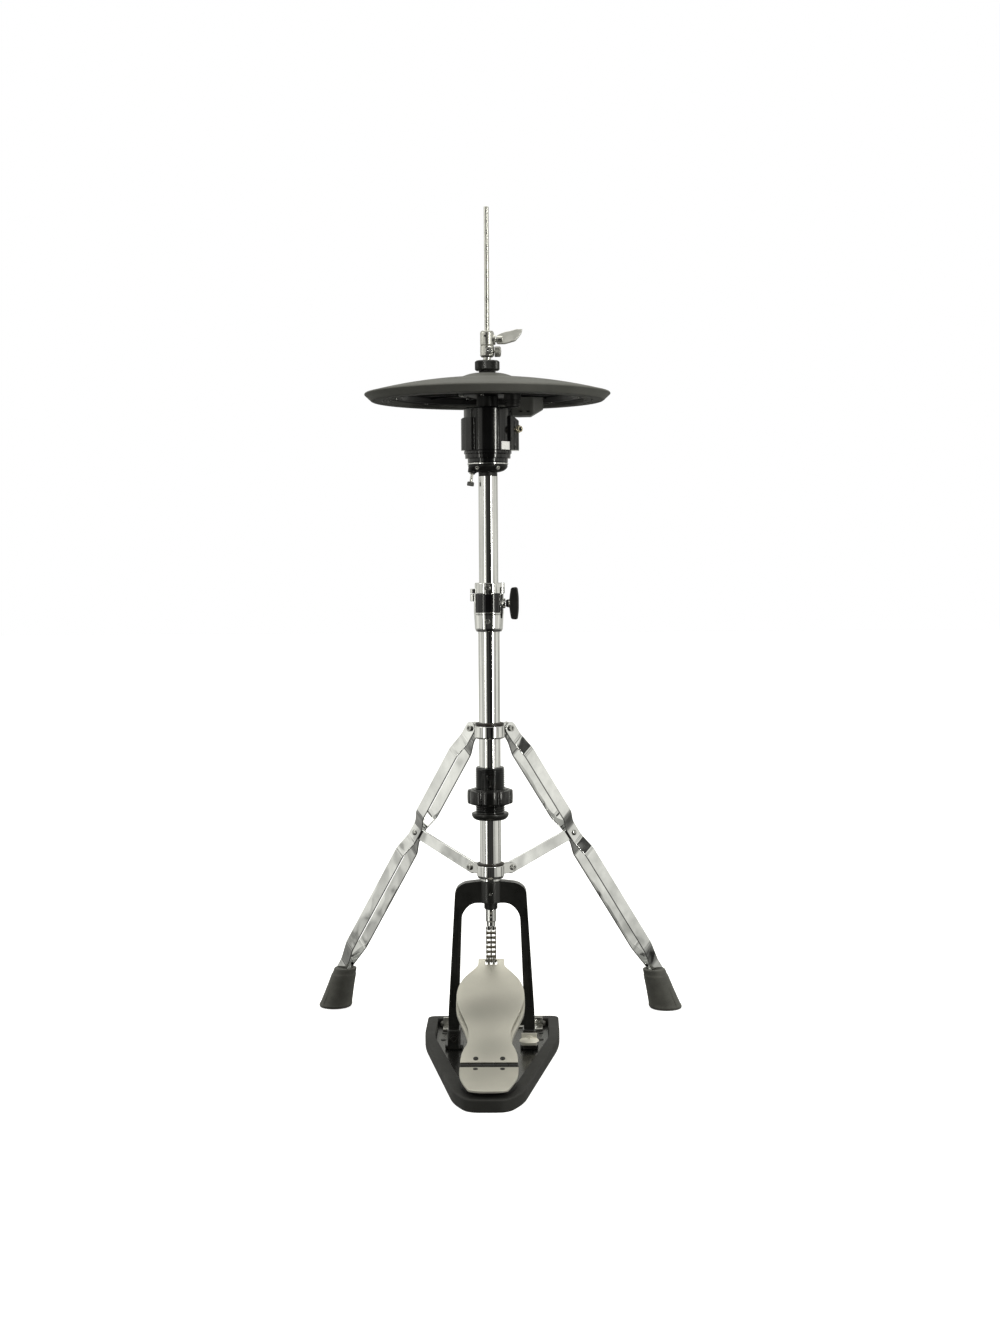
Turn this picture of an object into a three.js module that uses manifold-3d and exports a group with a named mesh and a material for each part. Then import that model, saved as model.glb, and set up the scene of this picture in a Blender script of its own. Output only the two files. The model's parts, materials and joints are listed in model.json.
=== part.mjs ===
// An electronic hi-hat: a round rubber pad and a motion sensor unit on a two-legged
// chain-pull stand. Millimetres, +Z up. The origin is on the column's axis, on the floor.
// -Y is the player's side, where the heel of the pedal is.
import * as THREE from 'three';
import { mergeVertices } from 'three/addons/utils/BufferGeometryUtils.js';
import Module from 'manifold-3d';

const wasm = await Module();
wasm.setup();

// ---------------------------------------------------------------- driving dimensions
const GAP = 0.3;                 // clearance between touching pieces

const UPPER_TUBE_R = 12.7;
const LOWER_TUBE_R = 14.3;
const UPPER_ROD_R = 3.2;
const LOWER_ROD_R = 3.6;
const ROD_TOP_Z = 1116;

const PAD_SEGMENTS = 40;
const PAD_R = 161;
const PAD_BOTTOM_Z = 864.2;
const PAD_RIM_Z = 874.3;         // top edge of the bevelled rim
const BOW_TOP_Z = 895.3;         // where the bow would peak without its bell
const BELL_R = 38;
const BELL_TOP_Z = 900.8;
const HUB_Z = 871;               // underside of the plate around the pad's hub

const SENSOR_R = 31.2;
const SENSOR_TOP_Z = 855.5;
const SENSOR_BOTTOM_Z = 795.5;
const SEAT_Z = 772;              // underside of the sensor's seat

const CLAMP_R = 19.7;
const CLAMP_BOTTOM_Z = 563;
const CLAMP_TOP_Z = 613;

const SLEEVE_R = 19.5;
const TENSION_NUT_R = 30.4;
const TENSION_NUT_Z = 333.7;
const TENSION_NUT_H = 21.3;
const SPRING_SEAT_Z = 342.5;
const SPRING_TOP_Z = 410;

const LEG_TURN = -1.8;           // the legs stand turned a little round the column
const LEG_AZIMUTHS = { right: 45 + LEG_TURN, left: 135 + LEG_TURN };
const LEG_ANGLE = 37.8;          // of each leg, from upright
const LEG_LENGTH = 476;
const LEG_WIDTH = 18;
const HINGE_RHO = 33;            // upper leg hinge, from the column's axis
const HINGE_Z = 433;
const PIVOT_S = 194.2;           // the brace's pivot, along the leg from its hinge
const BRACE_RHO = 36.5;
const BRACE_Z = 245.2;
const FOOT_RHO = 344;
const FOOT_TOP_RHO = 318;
const FOOT_TOP_Z = 62;

const YOKE_HUB_R = 15.5;
const YOKE_DEPTH = 18;
const HINGE_Y = -180;            // pedal hinge
const PEDAL_HINGE_Z = 31;
const PEDAL_SLOPE = 25.1;
const PLATE_T = 3.2;
const CHAIN_TOP_Z = 167.5;
const CHAIN_PITCH = 6.35;
const CHAIN_ROWS = 8;
const CHAIN_END_Z = CHAIN_TOP_Z - (CHAIN_ROWS - 1) * CHAIN_PITCH;

const radians = THREE.MathUtils.degToRad;

// ---------------------------------------------------------------- materials
function finish(color, roughness, metalness) {
  return () => new THREE.MeshStandardMaterial({ color, roughness, metalness });
}
const chrome = finish(0xd9dadb, 0.12, 1);
const nickel = finish(0xa9a497, 0.38, 1);
const steel = finish(0x84847f, 0.35, 1);
const castAlloy = finish(0xa8a598, 0.55, 0.8);
const blackPaint = finish(0x141414, 0.45, 0.3);
const blackPlastic = finish(0x18191a, 0.4, 0);
const greyPlastic = finish(0x77756e, 0.6, 0);
const rubber = finish(0x4a4945, 0.85, 0);
const felt = finish(0x1c1b1a, 0.95, 0);
const brass = finish(0xb59b62, 0.35, 1);

// ---------------------------------------------------------------- solid helpers
// Position-only geometry with shared vertices and its faces pointing out.
function clean(geometry) {
  const bare = geometry.clone();
  for (const name of Object.keys(bare.attributes)) {
    if (name !== 'position') bare.deleteAttribute(name);
  }
  const merged = mergeVertices(bare, 1e-4);
  const p = merged.attributes.position;
  const kept = [];
  let volume = 0;
  const [a, b, c] = [new THREE.Vector3(), new THREE.Vector3(), new THREE.Vector3()];
  for (let i = 0; i < merged.index.count; i += 3) {
    const [ia, ib, ic] = [0, 1, 2].map((k) => merged.index.getX(i + k));
    if (ia === ib || ib === ic || ia === ic) continue;
    kept.push(ia, ib, ic);
    a.fromBufferAttribute(p, ia);
    b.fromBufferAttribute(p, ib);
    c.fromBufferAttribute(p, ic);
    volume += a.dot(b.cross(c));
  }
  if (volume < 0) kept.reverse();
  merged.setIndex(kept);
  return merged;
}

function toManifold(geometry) {
  const g = clean(geometry);
  return new wasm.Manifold(new wasm.Mesh({
    numProp: 3,
    vertProperties: new Float32Array(g.attributes.position.array),
    triVerts: new Uint32Array(g.index.array),
  }));
}

function fromManifold(manifold) {
  const mesh = manifold.getMesh();
  const geometry = new THREE.BufferGeometry();
  geometry.setAttribute('position', new THREE.BufferAttribute(new Float32Array(mesh.vertProperties), 3));
  geometry.setIndex(Array.from(mesh.triVerts));
  return geometry;
}

function cut(base, ...tools) {
  return fromManifold(tools.reduce((solid, tool) => solid.subtract(toManifold(tool)), toManifold(base)));
}

function join(base, ...others) {
  return fromManifold(others.reduce((solid, other) => solid.add(toManifold(other)), toManifold(base)));
}

// A turned solid about the Z axis. The profile is a list of [radius, z]; one that doesn't
// start and end on the axis is closed into a ring.
function turned(profile, segments = 24) {
  const points = profile.map(([r, z]) => new THREE.Vector2(r, z));
  const onAxis = profile[0][0] === 0 && profile[profile.length - 1][0] === 0;
  if (!onAxis) points.push(points[0].clone());
  return new THREE.LatheGeometry(points, segments).rotateX(Math.PI / 2);
}

function ring(innerR, outerR, z0, z1, segments = 24) {
  return turned([[innerR, z0], [outerR, z0], [outerR, z1], [innerR, z1]], segments);
}

function disc(r, z0, z1, segments = 24) {
  return turned([[0, z0], [r, z0], [r, z1], [0, z1]], segments);
}

// A cylinder between two points.
function rodBetween(from, to, r, segments = 16) {
  const [a, b] = [new THREE.Vector3(...from), new THREE.Vector3(...to)];
  const axis = b.clone().sub(a);
  const geometry = new THREE.CylinderGeometry(r, r, axis.length(), segments);
  const turn = new THREE.Quaternion().setFromUnitVectors(new THREE.Vector3(0, 1, 0), axis.normalize());
  return geometry.applyQuaternion(turn).translate(...a.add(b).multiplyScalar(0.5).toArray());
}

function block(x0, x1, y0, y1, z0, z1) {
  return new THREE.BoxGeometry(x1 - x0, y1 - y0, z1 - z0)
    .translate((x0 + x1) / 2, (y0 + y1) / 2, (z0 + z1) / 2);
}

function shapeOf(points) {
  return new THREE.Shape(points.map(([x, y]) => new THREE.Vector2(x, y)));
}

// An outline in the XY plane, raised from z0 to z1.
function slab(points, z0, z1) {
  const options = { depth: z1 - z0, bevelEnabled: false };
  return new THREE.ExtrudeGeometry(shapeOf(points), options).translate(0, 0, z0);
}

// An outline in the XZ plane, from y0 to y1.
function upright(points, y0, y1) {
  return new THREE.ExtrudeGeometry(shapeOf(points), { depth: y1 - y0, bevelEnabled: false })
    .rotateX(Math.PI / 2).translate(0, y1, 0);
}

// An outline given by its +X half, from one end to the other, mirrored to -X.
function mirrored(half) {
  return [...half, ...half.map(([x, y]) => [-x, y]).reverse()];
}

function arc(cx, cy, r, fromDeg, toDeg, steps) {
  return Array.from({ length: steps + 1 }, (_, i) => {
    const t = radians(fromDeg + ((toDeg - fromDeg) * i) / steps);
    return [cx + r * Math.cos(t), cy + r * Math.sin(t)];
  });
}

// ---------------------------------------------------------------- the scene graph
const hiHat = new THREE.Group();

function part(name, geometry, material, parent = hiHat) {
  const mesh = new THREE.Mesh(clean(geometry), material());
  mesh.name = name;
  parent.add(mesh);
  return mesh;
}

// ---------------------------------------------------------------- floor base and heel
const FRAME_H = 16;
const FRAME_RIM = 15;           // width of the rubber around the plate
const FRAME_FLOOR = 3.7;        // thickness of the rubber under it
function frameOutline(inset) {
  return mirrored([
    [26 - inset * 0.4, -264.5 + inset * 1.5], [44 - inset, -228 + inset],
    [91.5 - inset, 22], [91.5 - inset, 124 - inset * 0.6], [85 - inset, 130 - inset],
  ]);
}

function buildBase() {
  const rim = slab(frameOutline(0), 0, FRAME_H - 3);
  const crown = slab(frameOutline(3), FRAME_H - 3, FRAME_H);
  const well = slab(frameOutline(FRAME_RIM), FRAME_FLOOR, FRAME_H + 1);
  part('base_frame', cut(join(rim, crown), well), rubber);

  const plate = slab(frameOutline(FRAME_RIM + GAP), FRAME_FLOOR + GAP, 7);
  part('base_plate', plate, steel);

  const plug = slab(mirrored([[19, -240], [28, -213], [32.4, -190]]), 7 + GAP, 20);
  const cap = slab(mirrored([[25, -241], [33.5, -222], [33.5, -190]]), FRAME_H + GAP, 21.6);
  part('heel_block', join(cap, plug), blackPlastic);

  const strap = block(-69, 69, 96, 104, 7 + GAP, 9.3);
  const brackets = [-58, 58].flatMap((x) => [
    block(x - 11, x + 11, 80, 104, 7 + GAP, 10.3),
    block(x - 11, x + 11, 101, 104, 7 + GAP, 21),
  ]);
  part('rear_bracket', join(strap, ...brackets), nickel);
}

// ---------------------------------------------------------------- pedal
const HEEL_SLOPE = 7;
const HINGE_ROD_R = 3;
const KNUCKLE_R = 5.6;
const KNUCKLE_BORE = HINGE_ROD_R + GAP;
const HEEL_KNUCKLES = [[-35.5, -24.3], [-7.7, 7.7], [24.3, 35.5]];
const PEDAL_KNUCKLES = [[-23.7, -8.3], [8.3, 23.7]];

function knuckles(spans) {
  const [y, z] = [HINGE_Y, PEDAL_HINGE_Z];
  return spans.map(([x0, x1]) => rodBetween([x0, y, z], [x1, y, z], KNUCKLE_R, 16));
}

function hingeBore() {
  return rodBetween([-50, HINGE_Y, PEDAL_HINGE_Z], [50, HINGE_Y, PEDAL_HINGE_Z], KNUCKLE_BORE, 16);
}

// Moves a slab lying at y >= 0, z = 0 to the pedal's hinge and tilts it up.
function onPedal(geometry) {
  return geometry.rotateX(radians(PEDAL_SLOPE)).translate(0, HINGE_Y, PEDAL_HINGE_Z);
}

function buildPedal() {
  const [y, z] = [HINGE_Y, PEDAL_HINGE_Z];
  part('hinge_rod', rodBetween([-36.5, y, z], [36.5, y, z], HINGE_ROD_R), blackPaint);

  const heelOutline = mirrored([
    [9, -79], [17, -77.6], [24, -74.5], [30, -58], [34.2, -43], [36.2, -28], [36.4, -7],
  ]);
  const heelTop = slab(heelOutline, 0, PLATE_T).rotateX(radians(HEEL_SLOPE)).translate(0, y, z + 0.6);
  const heelWeb = block(-35.5, 35.5, y - 12, y - 2, z - 5, z + 1.2);
  const clearRoom = PEDAL_KNUCKLES.map(([x0, x1]) => (
    rodBetween([x0 - GAP, y, z], [x1 + GAP, y, z], KNUCKLE_R + 0.6, 16)));
  const heel = join(heelTop, heelWeb, ...knuckles(HEEL_KNUCKLES));
  part('heel_plate', cut(heel, hingeBore(), ...clearRoom), castAlloy);

  const toe = 208;
  const outline = mirrored([
    [36, 2], [35.4, 10], [34.6, 18], [31.9, 27.5], [28.3, 37], [26.8, 46], [27.2, 65], [34.5, 85],
    [40.3, 105], [44, 131], [42.2, 145], [40, 155], [36.1, 166], [29.8, 176], [21.6, 186.6],
    [17.6, 193], [17.3, toe],
  ]);
  const slot = block(-8, 8, toe - 12.5, toe - 2.2, -10, 20);
  const plateZ = 3.4;
  const knuckleRoom = rodBetween([-40, y, z], [40, y, z], KNUCKLE_R + 0.4, 24);
  const top = cut(slab(outline, plateZ, plateZ + PLATE_T), slot);
  part('footboard', cut(onPedal(top), knuckleRoom), castAlloy);

  const railOutline = mirrored([
    [33, 9], [31, 20], [27, 30], [25, 46], [26.5, 60], [36, 82], [42.5, 105], [44.5, 131],
    [40, 150], [32, 165], [22, 178],
  ]);
  const railInner = mirrored([
    [26, 15], [22, 30], [20, 46], [22, 64], [31, 84], [37.5, 106], [39, 130], [33, 148], [22, 164],
  ]);
  const rail = cut(slab(railOutline, -4, plateZ - GAP), slab(railInner, -10, 10));
  const lugs = knuckles(PEDAL_KNUCKLES);
  const arms = PEDAL_KNUCKLES.map(([x0, x1]) => onPedal(block(x0, x1, 2, 16, -4, 2.6)));
  const heelRoom = HEEL_KNUCKLES.map(([x0, x1]) => (
    rodBetween([x0 - GAP, y, z], [x1 + GAP, y, z], KNUCKLE_R + 0.6, 16)));
  part('footboard_rail', cut(join(onPedal(rail), ...arms, ...lugs), hingeBore(), ...heelRoom), castAlloy);

  // two tongues under the toe that take the chain's last pin
  const eye = rodBetween([-20, 0, CHAIN_END_Z], [20, 0, CHAIN_END_Z], 2.1, 16);
  const tongues = [-3.25, 3.25].map((x) => (
    block(x - 1.6, x + 1.6, -3, 3, CHAIN_END_Z - 9, CHAIN_END_Z + 4)));
  const bridge = block(-11, 11, -4.6, 4.6, CHAIN_END_Z - 12, CHAIN_END_Z - 6.5);
  part('chain_anchor', cut(join(bridge, ...tongues), eye), nickel);
}

// ---------------------------------------------------------------- chain and pull rod
const CHAIN_PLATES_X = [-6.05, 0, 6.05];
const CHAIN_PIN_R = 1.5;

function buildChain() {
  const pieces = [];
  for (let i = 0; i < CHAIN_ROWS; i += 1) {
    const z = CHAIN_TOP_Z - i * CHAIN_PITCH;
    pieces.push(rodBetween([-6.7, 0, z], [6.7, 0, z], CHAIN_PIN_R + (i % (CHAIN_ROWS - 1) ? 0.3 : 0), 6));
  }
  for (const x of CHAIN_PLATES_X) {
    pieces.push(block(x - 0.65, x + 0.65, -2.6, 2.6, CHAIN_END_Z - 2.6, CHAIN_TOP_Z + 2.6));
  }
  part('chain', join(...pieces), nickel);
}

function buildPullRod() {
  part('upper_pull_rod', turned([
    [0, 484], [UPPER_ROD_R, 484], [UPPER_ROD_R, ROD_TOP_Z - 2], [1.8, ROD_TOP_Z], [0, ROD_TOP_Z],
  ], 16), chrome);
  part('lower_pull_rod', join(
    disc(LOWER_ROD_R, 193.8, 472, 16),
    ring(2, 11.4, SPRING_TOP_Z + GAP, SPRING_TOP_Z + 4.5, 20),
    disc(7, 470, 484 - GAP, 6),
  ), steel);

  const body = turned([[0, 170.8], [6, 170.8], [6, 177], [7.2, 177.4], [7.2, 193.5], [0, 193.5]], 24);
  const screwHole = rodBetween([0, -12, 186], [0, -4, 186], 1.6, 10);
  const tongues = [-3.05, 3.05].map((x) => block(x - 1.9, x + 1.9, -2.4, 2.4, CHAIN_TOP_Z - 3, 171));
  const pinHole = rodBetween([-20, 0, CHAIN_TOP_Z], [20, 0, CHAIN_TOP_Z], CHAIN_PIN_R + 0.4, 12);
  part('rod_coupler', cut(join(cut(body, screwHole), ...tongues), pinHole), chrome);
}

class CoilCurve extends THREE.Curve {
  constructor(radius, z0, z1, turns) {
    super();
    Object.assign(this, { radius, z0, z1, turns });
  }

  getPoint(t) {
    const angle = 2 * Math.PI * this.turns * t;
    const z = this.z0 + (this.z1 - this.z0) * t;
    return new THREE.Vector3(this.radius * Math.cos(angle), this.radius * Math.sin(angle), z);
  }
}

function buildSpring() {
  const wireR = 1.2;
  const seatTop = SPRING_SEAT_Z + 6;
  const curve = new CoilCurve(8, seatTop + wireR + GAP, SPRING_TOP_Z - wireR, 7);
  const section = new THREE.Shape(Array.from({ length: 5 }, (_, i) => {
    const t = (2 * i * Math.PI) / 5;
    return new THREE.Vector2(wireR * Math.cos(t), wireR * Math.sin(t));
  }));
  const coil = new THREE.ExtrudeGeometry(section, { extrudePath: curve, steps: 63, bevelEnabled: false });
  part('return_spring', coil, steel);

  const seat = ring(4.2, 12.6, SPRING_SEAT_Z, seatTop, 24);
  const pegZ = SPRING_SEAT_Z + 3;
  const pegs = [-1, 1].map((s) => rodBetween([0, 12 * s, pegZ], [0, 19 * s, pegZ], 1.9, 10));
  part('spring_seat', join(seat, ...pegs), steel);
}

// ---------------------------------------------------------------- column
const SLOT_W = 4.6;

function pegSlots(reach, z0, z1) {
  const side = SLOT_W / 2;
  return [block(-side, side, -reach, -10, z0, z1), block(-side, side, 10, reach, z0, z1)];
}

function lobedOutline(rOut, rIn, lobes, steps) {
  return Array.from({ length: lobes * steps }, (_, i) => {
    const t = (2 * Math.PI * i) / (lobes * steps);
    const wave = Math.abs(Math.cos((lobes * t) / 2));
    const r = rIn + (rOut - rIn) * wave ** 0.35;
    return [r * Math.cos(t), r * Math.sin(t)];
  });
}

function buildColumn() {
  const tube = ring(LOWER_TUBE_R - 1.3, LOWER_TUBE_R, 232.3, 606, 24);
  part('lower_tube', cut(tube, ...pegSlots(30, 334, 376)), chrome);

  const sleeve = turned([
    [LOWER_TUBE_R + GAP, 313.8], [22.8, 313.8], [24.6, 316.5], [24.6, 322.8], [SLEEVE_R, 323.2],
    [SLEEVE_R, 382.5], [18.3, 383.7], [LOWER_TUBE_R + GAP, 383.7],
  ], 24);
  part('threaded_sleeve', cut(sleeve, ...pegSlots(30, 334, 376)), blackPaint);

  const grip = slab(lobedOutline(TENSION_NUT_R, 27.6, 8, 6), TENSION_NUT_Z, TENSION_NUT_Z + TENSION_NUT_H);
  const bore = disc(SLEEVE_R + GAP, 300, 400, 24);
  part('tension_nut', cut(grip, bore), blackPaint);

  const body = turned([
    [LOWER_TUBE_R + GAP, CLAMP_BOTTOM_Z], [16.8, CLAMP_BOTTOM_Z], [18.2, 566], [19.3, 585],
    [CLAMP_R, 587], [CLAMP_R, CLAMP_TOP_Z], [LOWER_TUBE_R + GAP, CLAMP_TOP_Z],
  ], 24);
  const neck = rodBetween([15.5, 0, 600], [22, 0, 600], 6.5, 16);
  const lug = block(-24.5, -15.5, -6, 6, 603, 612.6);
  const windowZ = [588.2, CLAMP_TOP_Z + 1];
  const window = block(-17, 15.6, -40, -8, ...windowZ);
  const borehole = disc(LOWER_TUBE_R + GAP, 500, 700, 24);
  part('clamp_body', cut(join(body, neck, lug), window, borehole), chrome);

  const insertRing = ring(LOWER_TUBE_R + GAP, CLAMP_R - 0.2, windowZ[0] + GAP, CLAMP_TOP_Z - 0.2, 24);
  const insertRoom = block(-17 + GAP, 15.6 - GAP, -40, -8 - GAP, ...windowZ);
  const insert = toManifold(insertRing).intersect(toManifold(insertRoom));
  part('clamp_insert', fromManifold(insert), blackPlastic);

  const collar = ring(UPPER_TUBE_R + GAP, 18.4, CLAMP_TOP_Z + GAP, 627.2, 24);
  const lobe = block(14, 21, -6, 6, CLAMP_TOP_Z + GAP, 627.2);
  const collarBore = disc(UPPER_TUBE_R + GAP, 600, 700, 24);
  part('clamp_collar', cut(join(collar, lobe), collarBore), chrome);

  const shank = rodBetween([22.4, 0, 600], [28, 0, 600], 5.2, 16);
  const grab = upright([
    [27, 594], [29, 579], [38, 578.6], [39.6, 590], [39.6, 610], [38, 621.4], [29, 621.4], [27, 606],
  ], -5.5, 5.5);
  part('clamp_t_bolt', join(shank, grab), blackPlastic);
}

// ---------------------------------------------------------------- yoke
function buildYoke() {
  const half = [
    [0, 232], [15, 232], [36.5, 229.5], ...arc(39.6, 221.5, 7.6, 80, 5, 4), [57.2, 56], [57.2, 30],
    [43.4, 30], [43, 70], [38.6, 189], ...arc(26.2, 191, 12.4, 0, 90, 5), [0, 203.2],
  ];
  const arms = upright(mirrored(half.slice(1, -1)), -YOKE_DEPTH / 2, YOKE_DEPTH / 2);
  const hub = disc(YOKE_HUB_R, 203, 232, 24);
  const spigot = disc(12.7, 231, 262, 24);
  const feet = [-1, 1].map((s) => block(50 * s - 8.5, 50 * s + 8.5, -16, 12, 7 + GAP, 34));
  const bore = disc(6.4, 190, 270, 20);
  const screwHole = rodBetween([0, -20, 215.5], [0, -12, 215.5], 2.6, 12);
  const bolts = [-1, 1].map((s) => rodBetween([50 * s, -20, 22], [50 * s, -8, 22], 3.6, 12));
  const solid = join(arms, hub, spigot, ...feet);
  part('yoke', cut(solid, bore, screwHole, ...bolts), blackPaint);

  part('yoke_bush', turned([
    [4.2, 194], [8.9, 194], [8.9, 202.6], [6.1, 202.6], [6.1, 226], [4.2, 226],
  ], 24), blackPlastic);

  part('yoke_set_screw', rodBetween([0, -14.8, 215.5], [0, -12.4, 215.5], 2.3, 12), steel);
  const boltShank = rodBetween([-50, -8.6, 22], [-50, -17, 22], 3.2, 12);
  const boltHead = rodBetween([-50, -16.3, 22], [-50, -20.5, 22], 4.6, 12);
  part('base_bolt', join(boltShank, boltHead), steel);

  const stem = rodBetween([50, -8.6, 22], [50, -24, 22], 3.2, 12);
  const wing = new THREE.CylinderGeometry(13, 13, 7, 20).scale(1, 1, 0.42)
    .rotateX(Math.PI / 2).translate(50, -22, 22);
  part('base_wing_bolt', join(stem, wing), nickel);
}

// ---------------------------------------------------------------- legs
// Each leg is built in a frame of its own: x is the distance from the column's axis and
// y is across the leg. The frame is then turned to the leg's azimuth.
const STRIP_PATH = [
  [-8, 4.6], [18, 4.6], [42, 12.4], [160, 12.4], [180, 3.4], [206, 3.4], [230, 12.4],
  [422, 12.4], [458, 4.6], [LEG_LENGTH, 4.6],
];
const STRIP_T = 2;
const PINCH = 4.6;

function strip(side) {
  const outer = STRIP_PATH.map(([s, o]) => [s, side * (o + STRIP_T / 2)]);
  const inner = STRIP_PATH.map(([s, o]) => [s, side * (o - STRIP_T / 2)]).reverse();
  return new THREE.ExtrudeGeometry(shapeOf([...outer, ...inner]), { depth: LEG_WIDTH, bevelEnabled: false })
    .translate(0, 0, -LEG_WIDTH / 2);
}

function alongLeg(geometry) {
  return geometry.rotateY(radians(90 - LEG_ANGLE)).translate(HINGE_RHO, 0, HINGE_Z);
}

function buildLeg(side) {
  const frame = new THREE.Group();
  frame.rotation.z = radians(LEG_AZIMUTHS[side]);
  hiHat.add(frame);

  const hingeHole = rodBetween([0, -30, 0], [0, 30, 0], 2.8, 12);
  const strips = [-1, 1].map((s) => cut(strip(s), hingeHole));
  const spacer = block(LEG_LENGTH - 8, LEG_LENGTH, -PINCH, PINCH, -LEG_WIDTH / 2, LEG_WIDTH / 2);
  const rivets = [-1, 1].map((s) => rodBetween([PIVOT_S, s * 2.8, 0], [PIVOT_S, s * 6.8, 0], 3.4, 12));
  part(`${side}_leg`, alongLeg(join(spacer, ...strips, ...rivets)), chrome, frame);

  const pin = rodBetween([0, -6.2, 0], [0, 6.2, 0], 2.5, 12);
  const heads = [-1, 1].map((s) => rodBetween([0, s * 5.9, 0], [0, s * 8.2, 0], 4.2, 12));
  part(`${side}_leg_pin`, alongLeg(join(pin, ...heads)), steel, frame);

  // the foot is a leaning cone with a flat sole and a pocket for the ends of the strips
  const rings = [[0, 23.4], [3, 24.4], [40, 19.2], [50, 18], [54, 16.9], [FOOT_TOP_Z, 16.3]];
  const cone = turned([[0, 0], ...rings.map(([z, r]) => [r, z]), [0, FOOT_TOP_Z]], 24);
  const lean = (FOOT_TOP_RHO - FOOT_RHO) / FOOT_TOP_Z;
  cone.applyMatrix4(new THREE.Matrix4().set(1, 0, lean, FOOT_RHO, 0, 1, 0, 0, 0, 0, 1, 0, 0, 0, 0, 1));
  const pocket = alongLeg(block(
    452, LEG_LENGTH + 0.5, -PINCH - 1.8, PINCH + 1.8, -LEG_WIDTH / 2 - 0.5, LEG_WIDTH / 2 + 0.5));
  part(`${side}_foot`, cut(cone, pocket), rubber, frame);

  const reach = new THREE.Vector2(
    HINGE_RHO + PIVOT_S * Math.sin(radians(LEG_ANGLE)) - BRACE_RHO,
    HINGE_Z - PIVOT_S * Math.cos(radians(LEG_ANGLE)) - BRACE_Z,
  );
  const length = reach.length();
  const bar = upright([
    ...arc(0, 0, 8.4, 90, 270, 6), ...arc(length - 1, 0, 7.8, -90, 90, 6),
  ], -1.5, 1.5);
  const eye = rodBetween([0, -5, 0], [0, 5, 0], 2.8, 12);
  const brace = cut(bar, eye).rotateY(-reach.angle()).translate(BRACE_RHO, 0, BRACE_Z);
  part(`${side}_brace`, brace, chrome, frame);
  return frame;
}

function earPlates(offsets, t, z0, z1, rho, r) {
  return offsets.map((o) => upright([
    [15.5, z0], [rho, z0], ...arc(rho, (z0 + z1) / 2, r, -60, 60, 4), [rho, z1], [15.5, z1],
  ], o - t / 2, o + t / 2));
}

function buildLegCollars() {
  const turnTo = (geometry, azimuth) => geometry.clone().rotateZ(radians(azimuth));
  const azimuths = Object.values(LEG_AZIMUTHS);
  const bore = disc(LOWER_TUBE_R + GAP, 200, 500, 24);

  const pinHole = rodBetween([HINGE_RHO, -30, HINGE_Z], [HINGE_RHO, 30, HINGE_Z], 2.8, 12);
  const upperRing = turned([
    [14, 421.8], [19, 421.8], [20, 423.4], [20, 441.4], [19, 442.9], [14, 442.9],
  ], 24);
  const upperEar = cut(join(...earPlates([0], 6.4, 425, 441, HINGE_RHO, 8)), pinHole);
  const upperEars = azimuths.map((a) => turnTo(upperEar, a));
  part('upper_leg_collar', cut(join(upperRing, ...upperEars), bore), chrome);

  const lowPin = rodBetween([BRACE_RHO, -30, BRACE_Z], [BRACE_RHO, 30, BRACE_Z], 2.5, 12);
  const lowerRing = turned([
    [14, 235.4], [17, 235.4], [18.2, 237], [18.2, 254.6], [17.2, 256], [14, 256],
  ], 24);
  const lowerEars = azimuths.map((a) => turnTo(
    cut(join(...earPlates([-3.4, 3.4], 2.6, 238.5, 252, BRACE_RHO, 6.8)), lowPin), a));
  part('lower_leg_collar', cut(join(lowerRing, ...lowerEars), bore), chrome);

  for (const [side, azimuth] of Object.entries(LEG_AZIMUTHS)) {
    const pin = rodBetween([BRACE_RHO, -6.4, BRACE_Z], [BRACE_RHO, 6.4, BRACE_Z], 2.2, 12);
    const heads = [-1, 1].map((s) => (
      rodBetween([BRACE_RHO, s * 5.1, BRACE_Z], [BRACE_RHO, s * 7.4, BRACE_Z], 3.9, 12)));
    part(`${side}_brace_pin`, turnTo(join(pin, ...heads), azimuth), steel);
  }
}

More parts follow.
